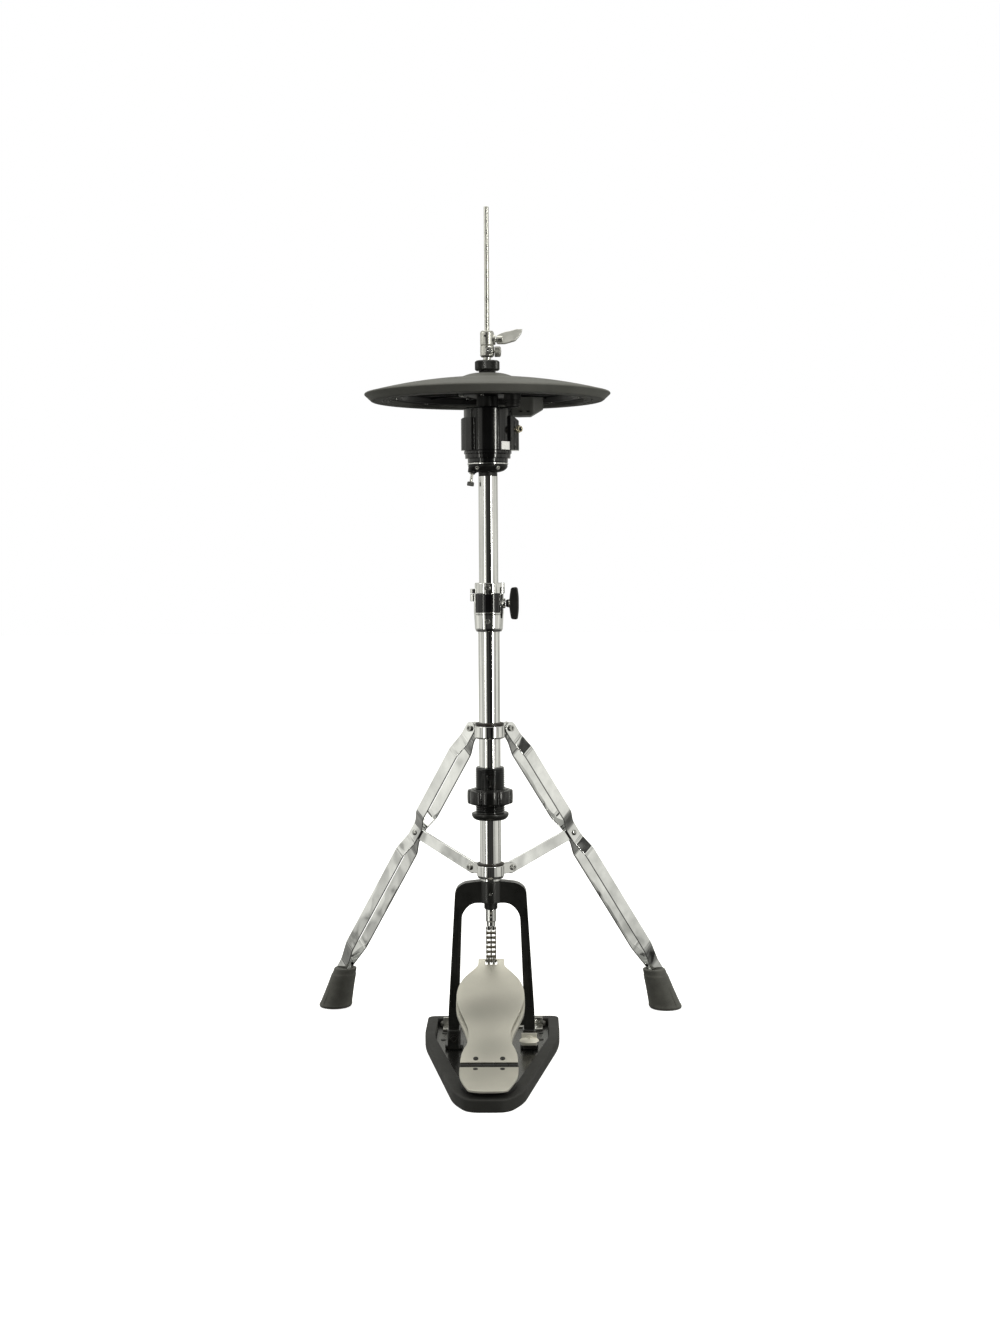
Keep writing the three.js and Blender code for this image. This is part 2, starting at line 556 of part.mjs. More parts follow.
// ---------------------------------------------------------------- sensor unit
function buildSensorUnit() {
  part('upper_tube', ring(UPPER_TUBE_R - 1.5, UPPER_TUBE_R, 515, 766.8, 24), chrome);
  part('tube_bush', turned([
    [5, 746], [10.9, 746], [10.9, 767.1], [12.4, 767.1], [12.4, 771.6], [5, 771.6],
  ], 24), blackPlastic);

  const cup = turned([
    [5, SEAT_Z], [16, SEAT_Z], [22, 774], [25.6, 778], [26.8, 781.2], [26.8, 783.7], [5, 783.7],
  ], 24);
  const lug = rodBetween([-20.6, -4, 771.8], [-19.4, -4, 780], 6, 16);
  const tiltAxis = [[-23.2, -4, 754], [-19.7, -4, 776]];
  part('seat_cup', cut(join(cup, lug), rodBetween(...tiltAxis, 2.4, 12)), chrome);
  const [, tip] = tiltAxis;
  const shank = rodBetween([-22.9, -4, 756], tip, 1.9, 12);
  const head = rodBetween([-23.2, -4, 754.5], [-22.3, -4, 760.3], 4.4, 12);
  part('tilt_screw', join(shank, head), blackPlastic);

  const base = turned([
    [5, 784], [26.4, 784], [26.4, 789.2], [29.9, 789.7], [29.9, 795.2], [5, 795.2],
  ], 24);
  part('sensor_base', base, blackPlastic);

  const body = turned([
    [5, SENSOR_BOTTOM_Z], [SENSOR_R, SENSOR_BOTTOM_Z], [SENSOR_R, SENSOR_TOP_Z - 1],
    [SENSOR_R - 1, SENSOR_TOP_Z], [14.6, SENSOR_TOP_Z], [14.6, 820], [5, 820],
  ], 32);
  part('sensor_body', body, blackPlastic);
  part('sensor_plunger', ring(10.8, 14.2, 838, HUB_Z - GAP, 24), blackPlastic);

  const shell = disc(SENSOR_R + GAP, 780, 900, 40);
  const coverOutline = [
    [-20, 2], [-34.6, 2], [-34.6, -13], [-30, -20], [-21, -29.6], [-16.7, -28.6], [-14, -20],
  ];
  const topCut = upright([[-40, 838], [-31, 843], [-40, 850]], -40, 10);
  part('sensor_cover', cut(slab(coverOutline, 800, 842), shell, topCut), blackPlastic);

  const housingOutline = [[24, 12], [41, 12], [41, -9], [36, -15], [26, -18]];
  const slopeCut = upright([[31.5, 846], [41, 838], [60, 838], [60, 860], [31.5, 860]], -40, 40);
  const jackFrom = [34, -7.5, 827];
  const jackTo = [43.4, -18, 827];
  const jackHole = rodBetween([30, -3, 827], [50, -25.4, 827], 4.6, 16);
  part('jack_housing', cut(slab(housingOutline, 800, 845), shell, slopeCut, jackHole), blackPlastic);
  const socket = rodBetween(jackFrom, jackTo, 4.2, 16);
  const plugHole = rodBetween([38, -12, 827], [50, -25.4, 827], 2.6, 12);
  part('sensor_jack', cut(socket, plugHole), brass);
}

// ---------------------------------------------------------------- pad
function bowZ(r) {
  return BOW_TOP_Z - ((BOW_TOP_Z - PAD_RIM_Z) * r * r) / (PAD_R * PAD_R);
}

function buildPad() {
  const bell = [
    [7, BELL_TOP_Z], [14, BELL_TOP_Z], [21, 900.2], [27, 898.7], [33, 896.4], [BELL_R, bowZ(BELL_R)],
  ];
  const bow = [76, 112, 140].map((r) => [r, bowZ(r)]);
  const rim = [[PAD_R - 1, PAD_RIM_Z + 0.2], [PAD_R, PAD_RIM_Z - 1.4], [152, PAD_BOTTOM_Z]];
  const under = [
    [130.5, PAD_BOTTOM_Z], [129.5, 865.6], [127.5, 865.6], [126.5, PAD_BOTTOM_Z + 0.6], [126.5, 874],
    [110, 880], [60, 886.4], [38, 887.4], [7, 890],
  ];
  part('pad_cover', turned([...bell, ...bow, ...rim, ...under], PAD_SEGMENTS), rubber);

  const tray = turned([
    [7, HUB_Z], [38, HUB_Z], [40, 876], [111, 876], [113, 868.5], [126.2, 868.5], [126.2, 873.4],
    [110, 879.6], [60, 886], [38, 887], [7, 889.6],
  ], PAD_SEGMENTS);
  part('pad_tray', tray, blackPlastic);

  const boxOutline = [[30.5, 15], [60, 13.5], [73, 20], [73, 42], [40, 48], [30.5, 40]];
  const bevel = upright([[58, 846], [74, 856], [80, 840]], -10, 60);
  part('trigger_box', cut(slab(boxOutline, 846.5, HUB_Z - GAP), bevel), greyPlastic);
  part('jack_boot', turned([
    [0, 853.5], [9.6, 853.5], [11, 855], [11, HUB_Z - GAP], [0, HUB_Z - GAP],
  ], 20).translate(33, -33, 0), blackPlastic);
}

// ---------------------------------------------------------------- clutch
function buildClutch() {
  const rodRoom = disc(UPPER_ROD_R + GAP, 800, 1000, 16);
  const upper = turned([[3, 936.5], [9.1, 936.5], [9.1, 953.5], [7.6, 955.5], [3, 955.5]], 24);
  const boss = rodBetween([3, 0, 944], [11.4, 0, 944], 6.6, 16);
  const stemHole = rodBetween([7, 0, 944], [30, 0, 944], 3.3, 12);
  part('clutch_upper_body', cut(join(upper, boss), stemHole, rodRoom), nickel);

  const stem = rodBetween([7.4, 0, 944], [16, 0, 944], 3, 12);
  const blade = upright([
    [13, 950], [17, 952.2], [24, 954.8], [32, 956.4], [39, 958.8], [46.4, 958.8], [44.6, 953],
    [41, 947.4], [37, 942.4], [30, 940.4], [22, 938], [13, 938],
  ], -2, 2);
  const knuckle = rodBetween([12, 0, 944], [22, 0, 944], 5.2, 12);
  part('clutch_wing_bolt', join(stem, blade, knuckle), castAlloy);

  const sleeve = disc(5.2, 862.5, 925, 20);
  const lower = turned([[0, 921.2], [7.4, 921.2], [9.1, 923], [9.1, 936.1], [0, 936.1]], 24);
  const screwBoss = rodBetween([2.6, -4, 929], [2.6, -10.6, 929], 5, 16);
  const knobHole = rodBetween([4, 0, 928.6], [30, 0, 928.6], 2.3, 12);
  part('clutch_lower_body', cut(join(sleeve, lower, screwBoss), knobHole, rodRoom), nickel);

  const knobStem = rodBetween([4.6, 0, 928.6], [12, 0, 928.6], 2, 12);
  const knobProfile = [[0, 9.6], [6.2, 9.6], [6.8, 10.6], [6.8, 16.6], [4, 18.6], [0, 18.6]];
  const knob = turned(knobProfile, 20).rotateY(Math.PI / 2).translate(0, 0, 928.6);
  part('clutch_lock_knob', join(knobStem, knob), nickel);

  part('pad_nut', turned([
    [5.6, 904], [14.8, 904], [16.2, 905.4], [16.2, 915.6], [14.6, 917], [5.6, 917],
  ], 24), blackPlastic);
  part('felt_washer', ring(5.6, 11, BELL_TOP_Z + GAP, 903.7, 24), felt);
  part('clutch_bottom_nut', cut(disc(9.6, 863, 870.2, 6), disc(5.5, 860, 880, 16)), nickel);
}

buildBase();
buildPedal();
buildChain();
buildPullRod();
buildSpring();
buildColumn();
buildYoke();
buildLeg('left');
buildLeg('right');
buildLegCollars();
buildSensorUnit();
buildPad();
buildClutch();

export default hiHat;
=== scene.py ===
"""Looks for an electronic hi-hat: a rubber pad and a sensor unit on a chain-pull pedal stand.

Sizes are in millimetres until link() puts a mesh into the scene, which is in metres.
+Z is up, -Y is the player's side and the origin is on the column's axis at the floor.
"""

import json
import math

import bmesh
import bpy
from mathutils import Matrix, Vector


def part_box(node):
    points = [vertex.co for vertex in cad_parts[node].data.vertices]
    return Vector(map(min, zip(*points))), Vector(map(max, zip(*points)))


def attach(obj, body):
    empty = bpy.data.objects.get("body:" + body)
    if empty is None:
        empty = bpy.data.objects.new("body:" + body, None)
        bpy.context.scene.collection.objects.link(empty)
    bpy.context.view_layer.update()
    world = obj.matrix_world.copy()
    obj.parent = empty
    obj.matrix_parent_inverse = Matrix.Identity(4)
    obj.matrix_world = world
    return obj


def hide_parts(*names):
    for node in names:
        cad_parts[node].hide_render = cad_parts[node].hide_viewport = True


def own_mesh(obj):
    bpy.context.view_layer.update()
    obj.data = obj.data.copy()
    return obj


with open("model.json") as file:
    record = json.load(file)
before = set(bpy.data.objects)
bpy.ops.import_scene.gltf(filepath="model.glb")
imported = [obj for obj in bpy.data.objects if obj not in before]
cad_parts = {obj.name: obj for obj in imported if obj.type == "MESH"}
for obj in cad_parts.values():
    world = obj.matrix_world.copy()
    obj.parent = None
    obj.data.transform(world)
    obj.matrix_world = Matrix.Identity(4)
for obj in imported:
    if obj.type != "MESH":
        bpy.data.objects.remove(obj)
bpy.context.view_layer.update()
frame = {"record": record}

MM = 0.001
X, Y, Z = 0, 1, 2
JOINTS = {joint["name"]: joint for joint in frame["record"]["behaviour"]["joints"]}
radians = math.radians


def span(node, axis):
    """A CAD node's lowest and highest coordinate along an axis, in millimetres."""
    low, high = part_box(node)
    return low[axis] / MM, high[axis] / MM


def pivot(joint):
    return Vector(JOINTS[joint]["pos_m"]) / MM


# ---------------------------------------------------------------- camera, light and floor
CAMERA_DISTANCE = 2.400
CAMERA_HEIGHT = 0.672
CAMERA_YAW = 1.10        # how far round the column the camera stands, in degrees
CAMERA_AIM = 0.76        # the way it looks, from +Y
CAMERA_PITCH = 3.5       # downward
CAMERA_ROLL = 0.37
FOCAL_PIXELS = 1822
FRAME_HEIGHT_PIXELS = 1320
# the studio's brightness: its walls by azimuth in degrees, and by the height of a direction
WALLS = [(-180, 0.74), (-120, 0.92), (-75, 0.98), (-38, 0.82), (-28, 0.74), (-24, 0.05),
    (31, 0.05), (35, 0.70), (57, 0.76), (60, 1.0), (67, 1.0), (70, 0.82), (95, 0.96), (140, 0.82), (180, 0.74)]
HORIZON = [(-1, 0.06), (-0.5, 0.16), (-0.30, 0.45), (-0.16, 0.92), (0.0, 1.0), (0.42, 1.0), (0.58, 0.0)]
CEILING = [(0.42, 0.0), (0.60, 0.50), (1.0, 0.70)]
CLUTTER = [(0.37, 0.06), (0.45, 0.66), (0.58, 1.0)]
WARMTH = (1.0, 1.0, 0.93)


def make_camera():
    yaw, aim, pitch, roll = map(radians, (CAMERA_YAW, CAMERA_AIM, CAMERA_PITCH, CAMERA_ROLL))
    forward = Vector((-math.sin(aim) * math.cos(pitch), math.cos(aim) * math.cos(pitch), -math.sin(pitch)))
    level = Vector((math.cos(aim), math.sin(aim), 0))
    upward = level.cross(forward)
    right = level * math.cos(roll) - upward * math.sin(roll)
    up = level * math.sin(roll) + upward * math.cos(roll)
    data = bpy.data.cameras.new("camera")
    data.sensor_width = 36
    data.lens = FOCAL_PIXELS * data.sensor_width / FRAME_HEIGHT_PIXELS
    camera = bpy.data.objects.new("camera", data)
    place = Vector((math.sin(yaw) * CAMERA_DISTANCE, -math.cos(yaw) * CAMERA_DISTANCE, CAMERA_HEIGHT))
    rotation = Matrix((right, up, -forward)).transposed().to_4x4()
    camera.matrix_world = Matrix.Translation(place) @ rotation
    bpy.context.scene.collection.objects.link(camera)
    bpy.context.scene.camera = camera


def set_sockets(node, **values):
    """Sets a node's sockets by name, with an underscore for each space."""
    for socket, value in values.items():
        node.inputs[socket.replace("_", " ")].default_value = value
    return node


def add_node(tree, kind, **values):
    return set_sockets(tree.nodes.new("ShaderNode" + kind), **values)


def set_stops(node, stops):
    """Gives a colour ramp its stops: [(position, colour), ...]."""
    elements = node.color_ramp.elements
    while len(elements) < len(stops):
        elements.new(0.5)
    for element, (at, colour) in zip(elements, stops):
        element.position = at
        element.color = (*colour, 1)


def make_world():
    """A studio with a dark opening on the player's side. Its brightness is worked out from a direction's
    azimuth, which is 0 at the player and grows to the right, and from its height."""
    world = bpy.data.worlds.new("studio")
    bpy.context.scene.world = world
    world.use_nodes = True
    tree = world.node_tree
    tree.nodes.clear()
    join = tree.links.new

    def ramp(value, low, high, stops):
        """Reads brightness off a ramp whose stops are at values between low and high."""
        spread = add_node(tree, "MapRange", From_Min=low, From_Max=high)
        join(value, spread.inputs["Value"])
        node = add_node(tree, "ValToRGB")
        set_stops(node, [((at - low) / (high - low), [level] * 3) for at, level in stops])
        join(spread.outputs[0], node.inputs[0])
        return node.outputs["Color"]

    def combine(operation, first, second):
        node = add_node(tree, "Math")
        node.operation = operation
        for socket, source in zip(node.inputs, (first, second)):
            if isinstance(source, (int, float)):
                socket.default_value = source
            else:
                join(source, socket)
        return node.outputs[0]

    coords = add_node(tree, "TexCoord").outputs["Generated"]
    split = add_node(tree, "SeparateXYZ")
    join(coords, split.inputs[0])
    azimuth = combine("ARCTAN2", split.outputs["X"], combine("MULTIPLY", split.outputs["Y"], -1))
    walls = ramp(azimuth, -math.pi, math.pi, [(radians(at), level) for at, level in WALLS])
    low_part = ramp(split.outputs["Z"], -1, 1, HORIZON)
    ceiling = ramp(split.outputs["Z"], -1, 1, CEILING)
    clutter = add_node(tree, "TexNoise", Scale=6.5, Detail=3, Distortion=0.8)
    join(coords, clutter.inputs["Vector"])
    dark = ramp(clutter.outputs["Fac"], 0, 1, CLUTTER)
    total = combine("ADD", combine("MULTIPLY", combine("MULTIPLY", walls, dark), low_part), ceiling)
    lit = add_node(tree, "Background", Color=(*WARMTH, 1))
    join(total, lit.inputs["Strength"])
    plain = add_node(tree, "Background", Color=(1, 1, 1, 1))
    choose = add_node(tree, "MixShader")
    seen = add_node(tree, "LightPath").outputs["Is Camera Ray"]
    for source, socket in zip((seen, lit.outputs[0], plain.outputs[0]), choose.inputs):
        join(source, socket)
    join(choose.outputs[0], add_node(tree, "OutputWorld").inputs["Surface"])


def make_light(name, place, aim, size, power):
    data = bpy.data.lights.new(name, "AREA")
    data.shape = "RECTANGLE"
    data.size, data.size_y = size
    data.energy = power
    data.color = WARMTH
    light = bpy.data.objects.new(name, data)
    place = Vector(place)
    light.matrix_world = Matrix.Translation(place) @ ((Vector(aim) - place).to_track_quat("-Z",
        "Y").to_matrix().to_4x4())
    bpy.context.scene.collection.objects.link(light)


def make_studio():
    bpy.context.scene.view_settings.view_transform = "Standard"
    make_camera()
    make_world()
    make_light("strip_right", (1.66, -2.03, 1.2), (0, 0, 1.2), (0.17, 2.4), 30)
    make_light("strip_left", (-1.80, -1.93, 0.15), (0, 0, 0.15), (0.15, 1.55), 5)
    make_light("softbox_left", (-2.6, -0.6, 2.2), (0, 0, 0.6), (1.2, 1.4), 12)
    make_light("softbox_top", (0.1, 0.7, 3.0), (0, 0, 0.5), (2.2, 2.2), 20)
    reach = 12
    floor = bpy.data.meshes.new("floor")
    floor.from_pydata([(-reach, -reach, 0), (reach, -reach, 0), (reach, reach, 0), (-reach, reach, 0)],
        [], [(0, 1, 2, 3)])
    ground = bpy.data.objects.new("floor", floor)
    ground.location.z = -0.0002
    ground.visible_glossy = False
    ground.visible_diffuse = False
    bpy.context.scene.collection.objects.link(ground)
    paint = bpy.data.materials.new("pale_floor")
    paint.use_nodes = True
    set_sockets(paint.node_tree.nodes["Principled BSDF"], Base_Color=(0.93, 0.93, 0.93, 1),
        Roughness=0.9, Specular_IOR_Level=0.1, Emission_Color=(1, 1, 1, 1), Emission_Strength=0.80)
    floor.materials.append(paint)


# ---------------------------------------------------------------- materials
# each look's material: its name, colour, roughness, metallic, patch, tint, spread, grain and relief, and what
# else surface() takes
LOOK_TABLE = {
    "chrome": ("polished_chrome", (0.80, 0.80, 0.785), 0.045, 1.0, 30, 0.05, 0.03, 110, 0.018),
    # leg_chrome's strong tint over wide patches is painted reflection: light and dark patches painted into the
    # chrome's colour
    "leg_chrome": ("pressed_chrome", (0.80, 0.805, 0.80), 0.05, 1.0, 14, 0.22, 0.03, 10, 3.4),
    "nickel": ("satin_nickel", (0.60, 0.595, 0.56), 0.30, 1.0, 70, 0.12, 0.07, 2200, 0.0025),
    "cast_nickel": ("cast_nickel", (0.66, 0.655, 0.625), 0.42, 0.92, 90, 0.10, 0.08, 1800, 0.004),
    "nut_black": ("moulded_black", (0.005, 0.005, 0.0048), 0.20, 0.0, 60, 0.2, 0.05, 900, 0.004,
                  dict(Coat_Weight=0.2, Coat_Roughness=0.12)),
    "chain": ("chain_steel", (0.30, 0.275, 0.225), 0.33, 1.0, 220, 0.30, 0.1, 2000, 0.003),
    "steel": ("zinc_steel", (0.52, 0.52, 0.50), 0.26, 1.0, 120, 0.15, 0.08, 2200, 0.002),
    "dark_screw": ("blackened_screw", (0.030, 0.029, 0.027), 0.34, 0.6, 200, 0.2, 0.05, 2000, 0.002),
    "plate": ("satin_plate", (0.105, 0.105, 0.10), 0.24, 0.9, 14, 0.12, 0.06, 700, 0.004,
              dict(stretch=(6, 0.6, 1))),
    # the footboard's soft spots are painted shade: the darker band across its middle is a painted reflection of
    # something dark, and its lower part is painted darker than its top
    "blasted": ("blasted_alloy", (0.78, 0.757, 0.68), 0.50, 0.78, 26, 0.07, 0.05, 1300, 0.012,
                dict(speckle=0.35, shades=[((-24, -92, 72), 58, 0.57), ((24, -86, 75), 58, 0.62),
                                           ((0, -150, 45), 62, 0.66), ((0, -200, 20), 150, 0.72)])),
    "black_paint": ("black_paint", (0.012, 0.012, 0.011), 0.32, 0.0, 40, 0.25, 0.07, 1200, 0.006,
                    dict(Coat_Weight=0.2, Coat_Roughness=0.2)),
    "matt_black": ("matt_black", (0.009, 0.009, 0.0085), 0.44, 0.0, 60, 0.25, 0.08, 1500, 0.008,
                   dict(Specular_IOR_Level=0.4)),
    "gloss_black": ("gloss_black", (0.005, 0.005, 0.0055), 0.14, 0.0, 30, 0.2, 0.05, 140, 0.012,
                    dict(Coat_Weight=0.2, Coat_Roughness=0.08)),
    "grey_plastic": ("grey_plastic", (0.105, 0.105, 0.098), 0.46, 0.0, 50, 0.12, 0.05, 1500, 0.008),
    "pad_rubber": ("pad_rubber", (0.150, 0.150, 0.139), 0.54, 0.0, 22, 0.20, 0.07, 1400, 0.020,
                   dict(speckle=0.25, Specular_IOR_Level=0.22)),
    "base_rubber": ("grained_rubber", (0.022, 0.0217, 0.020), 0.58, 0.0, 30, 0.25, 0.07, 900, 0.045,
                    dict(speckle=0.35, Specular_IOR_Level=0.35)),
    "foot_rubber": ("foot_rubber", (0.120, 0.119, 0.108), 0.60, 0.0, 60, 0.30, 0.07, 900, 0.040,
                    dict(speckle=0.4, Specular_IOR_Level=0.4)),
    "felt": ("wool_felt", (0.018, 0.017, 0.016), 0.95, 0.0, 150, 0.4, 0.05, 1400, 0.12,
             dict(speckle=0.6, Sheen_Weight=0.3, Sheen_Roughness=0.5)),
    "brown_bush": ("nylon_bush", (0.018, 0.013, 0.009), 0.38, 0.0, 90, 0.2, 0.05, 1500, 0.005),
    "jack": ("nickelled_jack", (0.66, 0.60, 0.45), 0.16, 1.0, 150, 0.10, 0.05, 2500, 0.001),
    # the label's emission is painted light: it glows so that it looks brightly lit
    "label": ("paper_label", (0.90, 0.90, 0.87), 0.62, 0.0, 120, 0.07, 0.05, 2000, 0.004,
              dict(Emission_Color=(1, 1, 0.96, 1), Emission_Strength=0.28)),
    # the hole look is painted shade: a near-black fill standing for the darkness inside a bore
    "hole": ("dark_recess", (0.004, 0.004, 0.004), 0.7, 0.0, 90, 0.3, 0.05, 1500, 0.01),
}
LOOKS = {}
# a material slot name for each look, which piece() looks up unless a piece names its own, and then does not use
SLOTS = {"chrome": "chrome", "leg_chrome": "chrome",
    "nickel": "nickel", "cast_nickel": "blasted_alloy", "nut_black": "black_casting", "chain": "nickel",
    "steel": "steel", "dark_screw": "steel", "blasted": "blasted_alloy", "black_paint": "black_casting",
    "matt_black": "matt_plastic", "gloss_black": "black_plastic", "grey_plastic": "matt_plastic",
    "pad_rubber": "pad_rubber", "base_rubber": "ribbed_rubber", "foot_rubber": "foot_rubber", "felt": "felt",
    "brown_bush": "matt_plastic", "jack": "brass", "label": "black_plastic", "hole": "black_plastic"}


def surface(name, colour, roughness,
        metallic, patch, tint, spread, grain, relief, stretch=(1, 1, 1), speckle=0.0, shades=(), **sockets):
    """A Principled material whose colour and roughness drift over patches, with a grain in its bump.
    patch and grain are noise scales per metre, tint and spread say how far the colour and the roughness
    drift, relief is the grain's height in millimetres, and speckle mixes the grain into the colour.
    shades are soft spots of painted shade and painted reflection that darken the colour: each a centre and a
    radius in millimetres, and the tone it has there."""
    material = bpy.data.materials.new(name)
    material.use_nodes = True
    tree = material.node_tree
    join = tree.links.new
    shader = set_sockets(tree.nodes["Principled BSDF"], Metallic=metallic, **sockets)
    coords = add_node(tree, "TexCoord").outputs["Object"]
    mapping = add_node(tree, "Mapping", Scale=stretch)
    join(coords, mapping.inputs["Vector"])

    def noise(scale, detail):
        node = add_node(tree, "TexNoise", Scale=scale, Detail=detail, Roughness=0.6)
        join(mapping.outputs[0], node.inputs["Vector"])
        return node.outputs["Fac"]

    def ranged(value, low, high, start=0.3, end=0.7):
        node = add_node(tree, "MapRange", From_Min=start, From_Max=end, To_Min=low, To_Max=high)
        join(value, node.inputs["Value"])
        return node.outputs[0]

    def mixed(kind, first, second, factor, blend="MIX"):
        node = add_node(tree, "Mix")
        node.data_type = kind
        if kind == "RGBA":
            node.blend_type = blend
        set_sockets(node, Factor=factor)
        for socket, source in (("A", first), ("B", second)):
            join(source, next(i for i in node.inputs if i.name == socket and i.enabled))
        return next(o for o in node.outputs if o.enabled)

    patches = noise(patch, 4)
    fine = noise(grain, 2)
    drift = add_node(tree, "ValToRGB")
    set_stops(drift, [(0.3, [c * (1 - tint) for c in colour]), (0.7, [min(1, c * (1 + tint)) for c in colour])])
    join(mixed("FLOAT", patches, fine, speckle), drift.inputs[0])
    tone = drift.outputs[0]
    # painted shade: each spot darkens the colour toward its tone at its centre
    for centre, radius, depth in shades:
        away = add_node(tree, "VectorMath")
        away.operation = "DISTANCE"
        away.inputs[1].default_value = Vector(centre) * MM
        join(coords, away.inputs[0])
        spot = add_node(tree, "ValToRGB")
        spot.color_ramp.interpolation = "EASE"
        set_stops(spot, [(0, [depth] * 3), (1, [1] * 3)])
        join(ranged(away.outputs["Value"], 0, 1, 0, radius * MM), spot.inputs[0])
        tone = mixed("RGBA", tone, spot.outputs[0], 1.0, "MULTIPLY")
    join(tone, shader.inputs["Base Color"])
    join(ranged(patches, max(0.01, roughness - spread), roughness + spread), shader.inputs["Roughness"])
    if relief:
        bumps = add_node(tree, "Bump", Strength=1.0, Distance=relief * MM)
        join(fine, bumps.inputs["Height"])
        join(bumps.outputs[0], shader.inputs["Normal"])
    return material


def make_looks():
    for look, (name, *values) in LOOK_TABLE.items():
        more = values.pop() if isinstance(values[-1], dict) else {}
        LOOKS[look] = surface(name, *values, **more)


# ---------------------------------------------------------------- shapes, as bmeshes in millimetres
def rounded(points, radius, steps=3, closed=True):
    """An outline with its corners rounded. A point's third value is its own corner radius."""
    out = []
    for i, point in enumerate(points):
        here = Vector(point[:2])
        if not closed and i in (0, len(points) - 1):
            out.append(here)
            continue
        back = Vector(points[i - 1][:2]) - here
        ahead = Vector(points[(i + 1) % len(points)][:2]) - here
        reach = min(point[2] if len(point) > 2 else radius, back.length * 0.47, ahead.length * 0.47)
        if reach < 0.01:
            out.append(here)
            continue
        a, b = here + back.normalized() * reach, here + ahead.normalized() * reach
        for k in range(steps + 1):
            t = k / steps
            out.append(a * (1 - t) ** 2 + here * 2 * t * (1 - t) + b * t ** 2)
    return out


def smooth_through(points, steps=6):
    """A Catmull-Rom curve through the points."""
    ends = [points[0], *points, points[-1]]
    out = []
    for p0, p1, p2, p3 in zip(ends, ends[1:], ends[2:], ends[3:]):
        a, b, c, d = (Vector(p[:2]) for p in (p0, p1, p2, p3))
        for k in range(steps):
            t = k / steps
            out.append(0.5 * (2
                * b + (c - a) * t + (2 * a - 5 * b + 4 * c - d) * t ** 2 + (3 * b - a - 3 * c + d) * t ** 3))
    out.append(Vector(points[-1][:2]))
    return out


def mirrored(half):
    return [*half, *[(-p[0], *p[1:]) for p in reversed(half)]]


def polar(r, degrees, *rest):
    """A point at a distance and an angle from the origin, with any further coordinates."""
    return (r * math.cos(radians(degrees)), r * math.sin(radians(degrees)), *rest)


def arc(reach, start, end, step, x=0.0, y=0.0, rise=None):
    """Points on a circle round (x, y), or on an ellipse with another reach upward, by angles in degrees."""
    rise = reach if rise is None else rise
    return [(x + reach * math.cos(radians(t)), y + rise * math.sin(radians(t)))
        for t in range(start, end, step)]


def hexagonal(reach, angle):
    """The radius, at an angle, of the hexagon inside a circle."""
    return reach * math.cos(math.pi / 6) / math.cos((angle % (math.pi / 3)) - math.pi / 6)


def skin(shape, rows, closed=False, capped=False):
    """Covers rings of vertices with faces, each ring to the next, and makes them face out."""
    for low, high in zip(rows, rows[1:] + (rows[:1] if closed else [])):
        for k in range(len(low)):
            after = (k + 1) % len(low)
            corners = list(dict.fromkeys((low[k], low[after], high[after], high[k])))
            if len(corners) > 2:
                shape.faces.new(corners)
    if capped:
        shape.faces.new(rows[0])
        shape.faces.new(rows[-1])
    bmesh.ops.recalc_face_normals(shape, faces=shape.faces)
    return shape


def turned(profile, radius=0.4, steps=72, wave=None, corner_steps=3):
    """A solid of revolution about Z from [(r, z), ...]. wave(r, z, angle) may change a radius."""
    ring = profile[0][0] > 0
    points = rounded(profile, radius, corner_steps, closed=ring)
    shape = bmesh.new()
    rows = []
    for r, z in points:
        if r < 1e-6:
            rows.append([shape.verts.new((0, 0, z))] * steps)
            continue
        row = []
        for k in range(steps):
            angle = 2 * math.pi * k / steps
            reach = wave(r, z, angle) if wave else r
            row.append(shape.verts.new((reach * math.cos(angle), reach * math.sin(angle), z)))
        rows.append(row)
    return skin(shape, rows, ring)


def prism(outline, start, end, along=Z, radius=0.0, steps=4):
    """An outline pulled along an axis. It lies in XY, XZ or YZ when along is Z, Y or X."""
    points = rounded(outline, radius, steps) if radius else [Vector(p[:2]) for p in outline]
    shape = bmesh.new()

    def corner(p, level):
        return {Z: (p[0], p[1], level), Y: (p[0], level, p[1]), X: (level, p[0], p[1])}[along]

    low = [shape.verts.new(corner(p, start)) for p in points]
    high = [shape.verts.new(corner(p, end)) for p in points]
    shape.faces.new(low)
    shape.faces.new(high)
    for i in range(len(points)):
        j = (i + 1) % len(points)
        shape.faces.new((low[i], low[j], high[j], high[i]))
    bmesh.ops.recalc_face_normals(shape, faces=shape.faces)
    return shape


def tube(inner, outer, low, high, radius, steps):
    return turned([(inner, low), (outer, low), (outer, high), (inner, high)], radius, steps)


def block(x0, x1, y0, y1, z0, z1):
    return prism([(x0, y0), (x1, y0), (x1, y1), (x0, y1)], z0, z1)


def moved(shape, matrix):
    bmesh.ops.transform(shape, matrix=matrix, verts=shape.verts)
    if matrix.determinant() < 0:
        bmesh.ops.reverse_faces(shape, faces=shape.faces)
    return shape


def shift(x, y, z):
    return Matrix.Translation((x, y, z))


def spin(degrees, axis):
    return Matrix.Rotation(radians(degrees), 4, axis)


def facing(start, end):
    """The matrix that puts a shape turned about Z at start, pointing at end."""
    start, end = Vector(start), Vector(end)
    turn = Vector((0, 0, 1)).rotation_difference(end - start)
    return Matrix.Translation(start) @ turn.to_matrix().to_4x4()


def bar(start, end, r, radius=0.3, steps=32):
    length = (Vector(end) - Vector(start)).length
    return moved(tube(0, r, 0, length, radius, steps), facing(start, end))


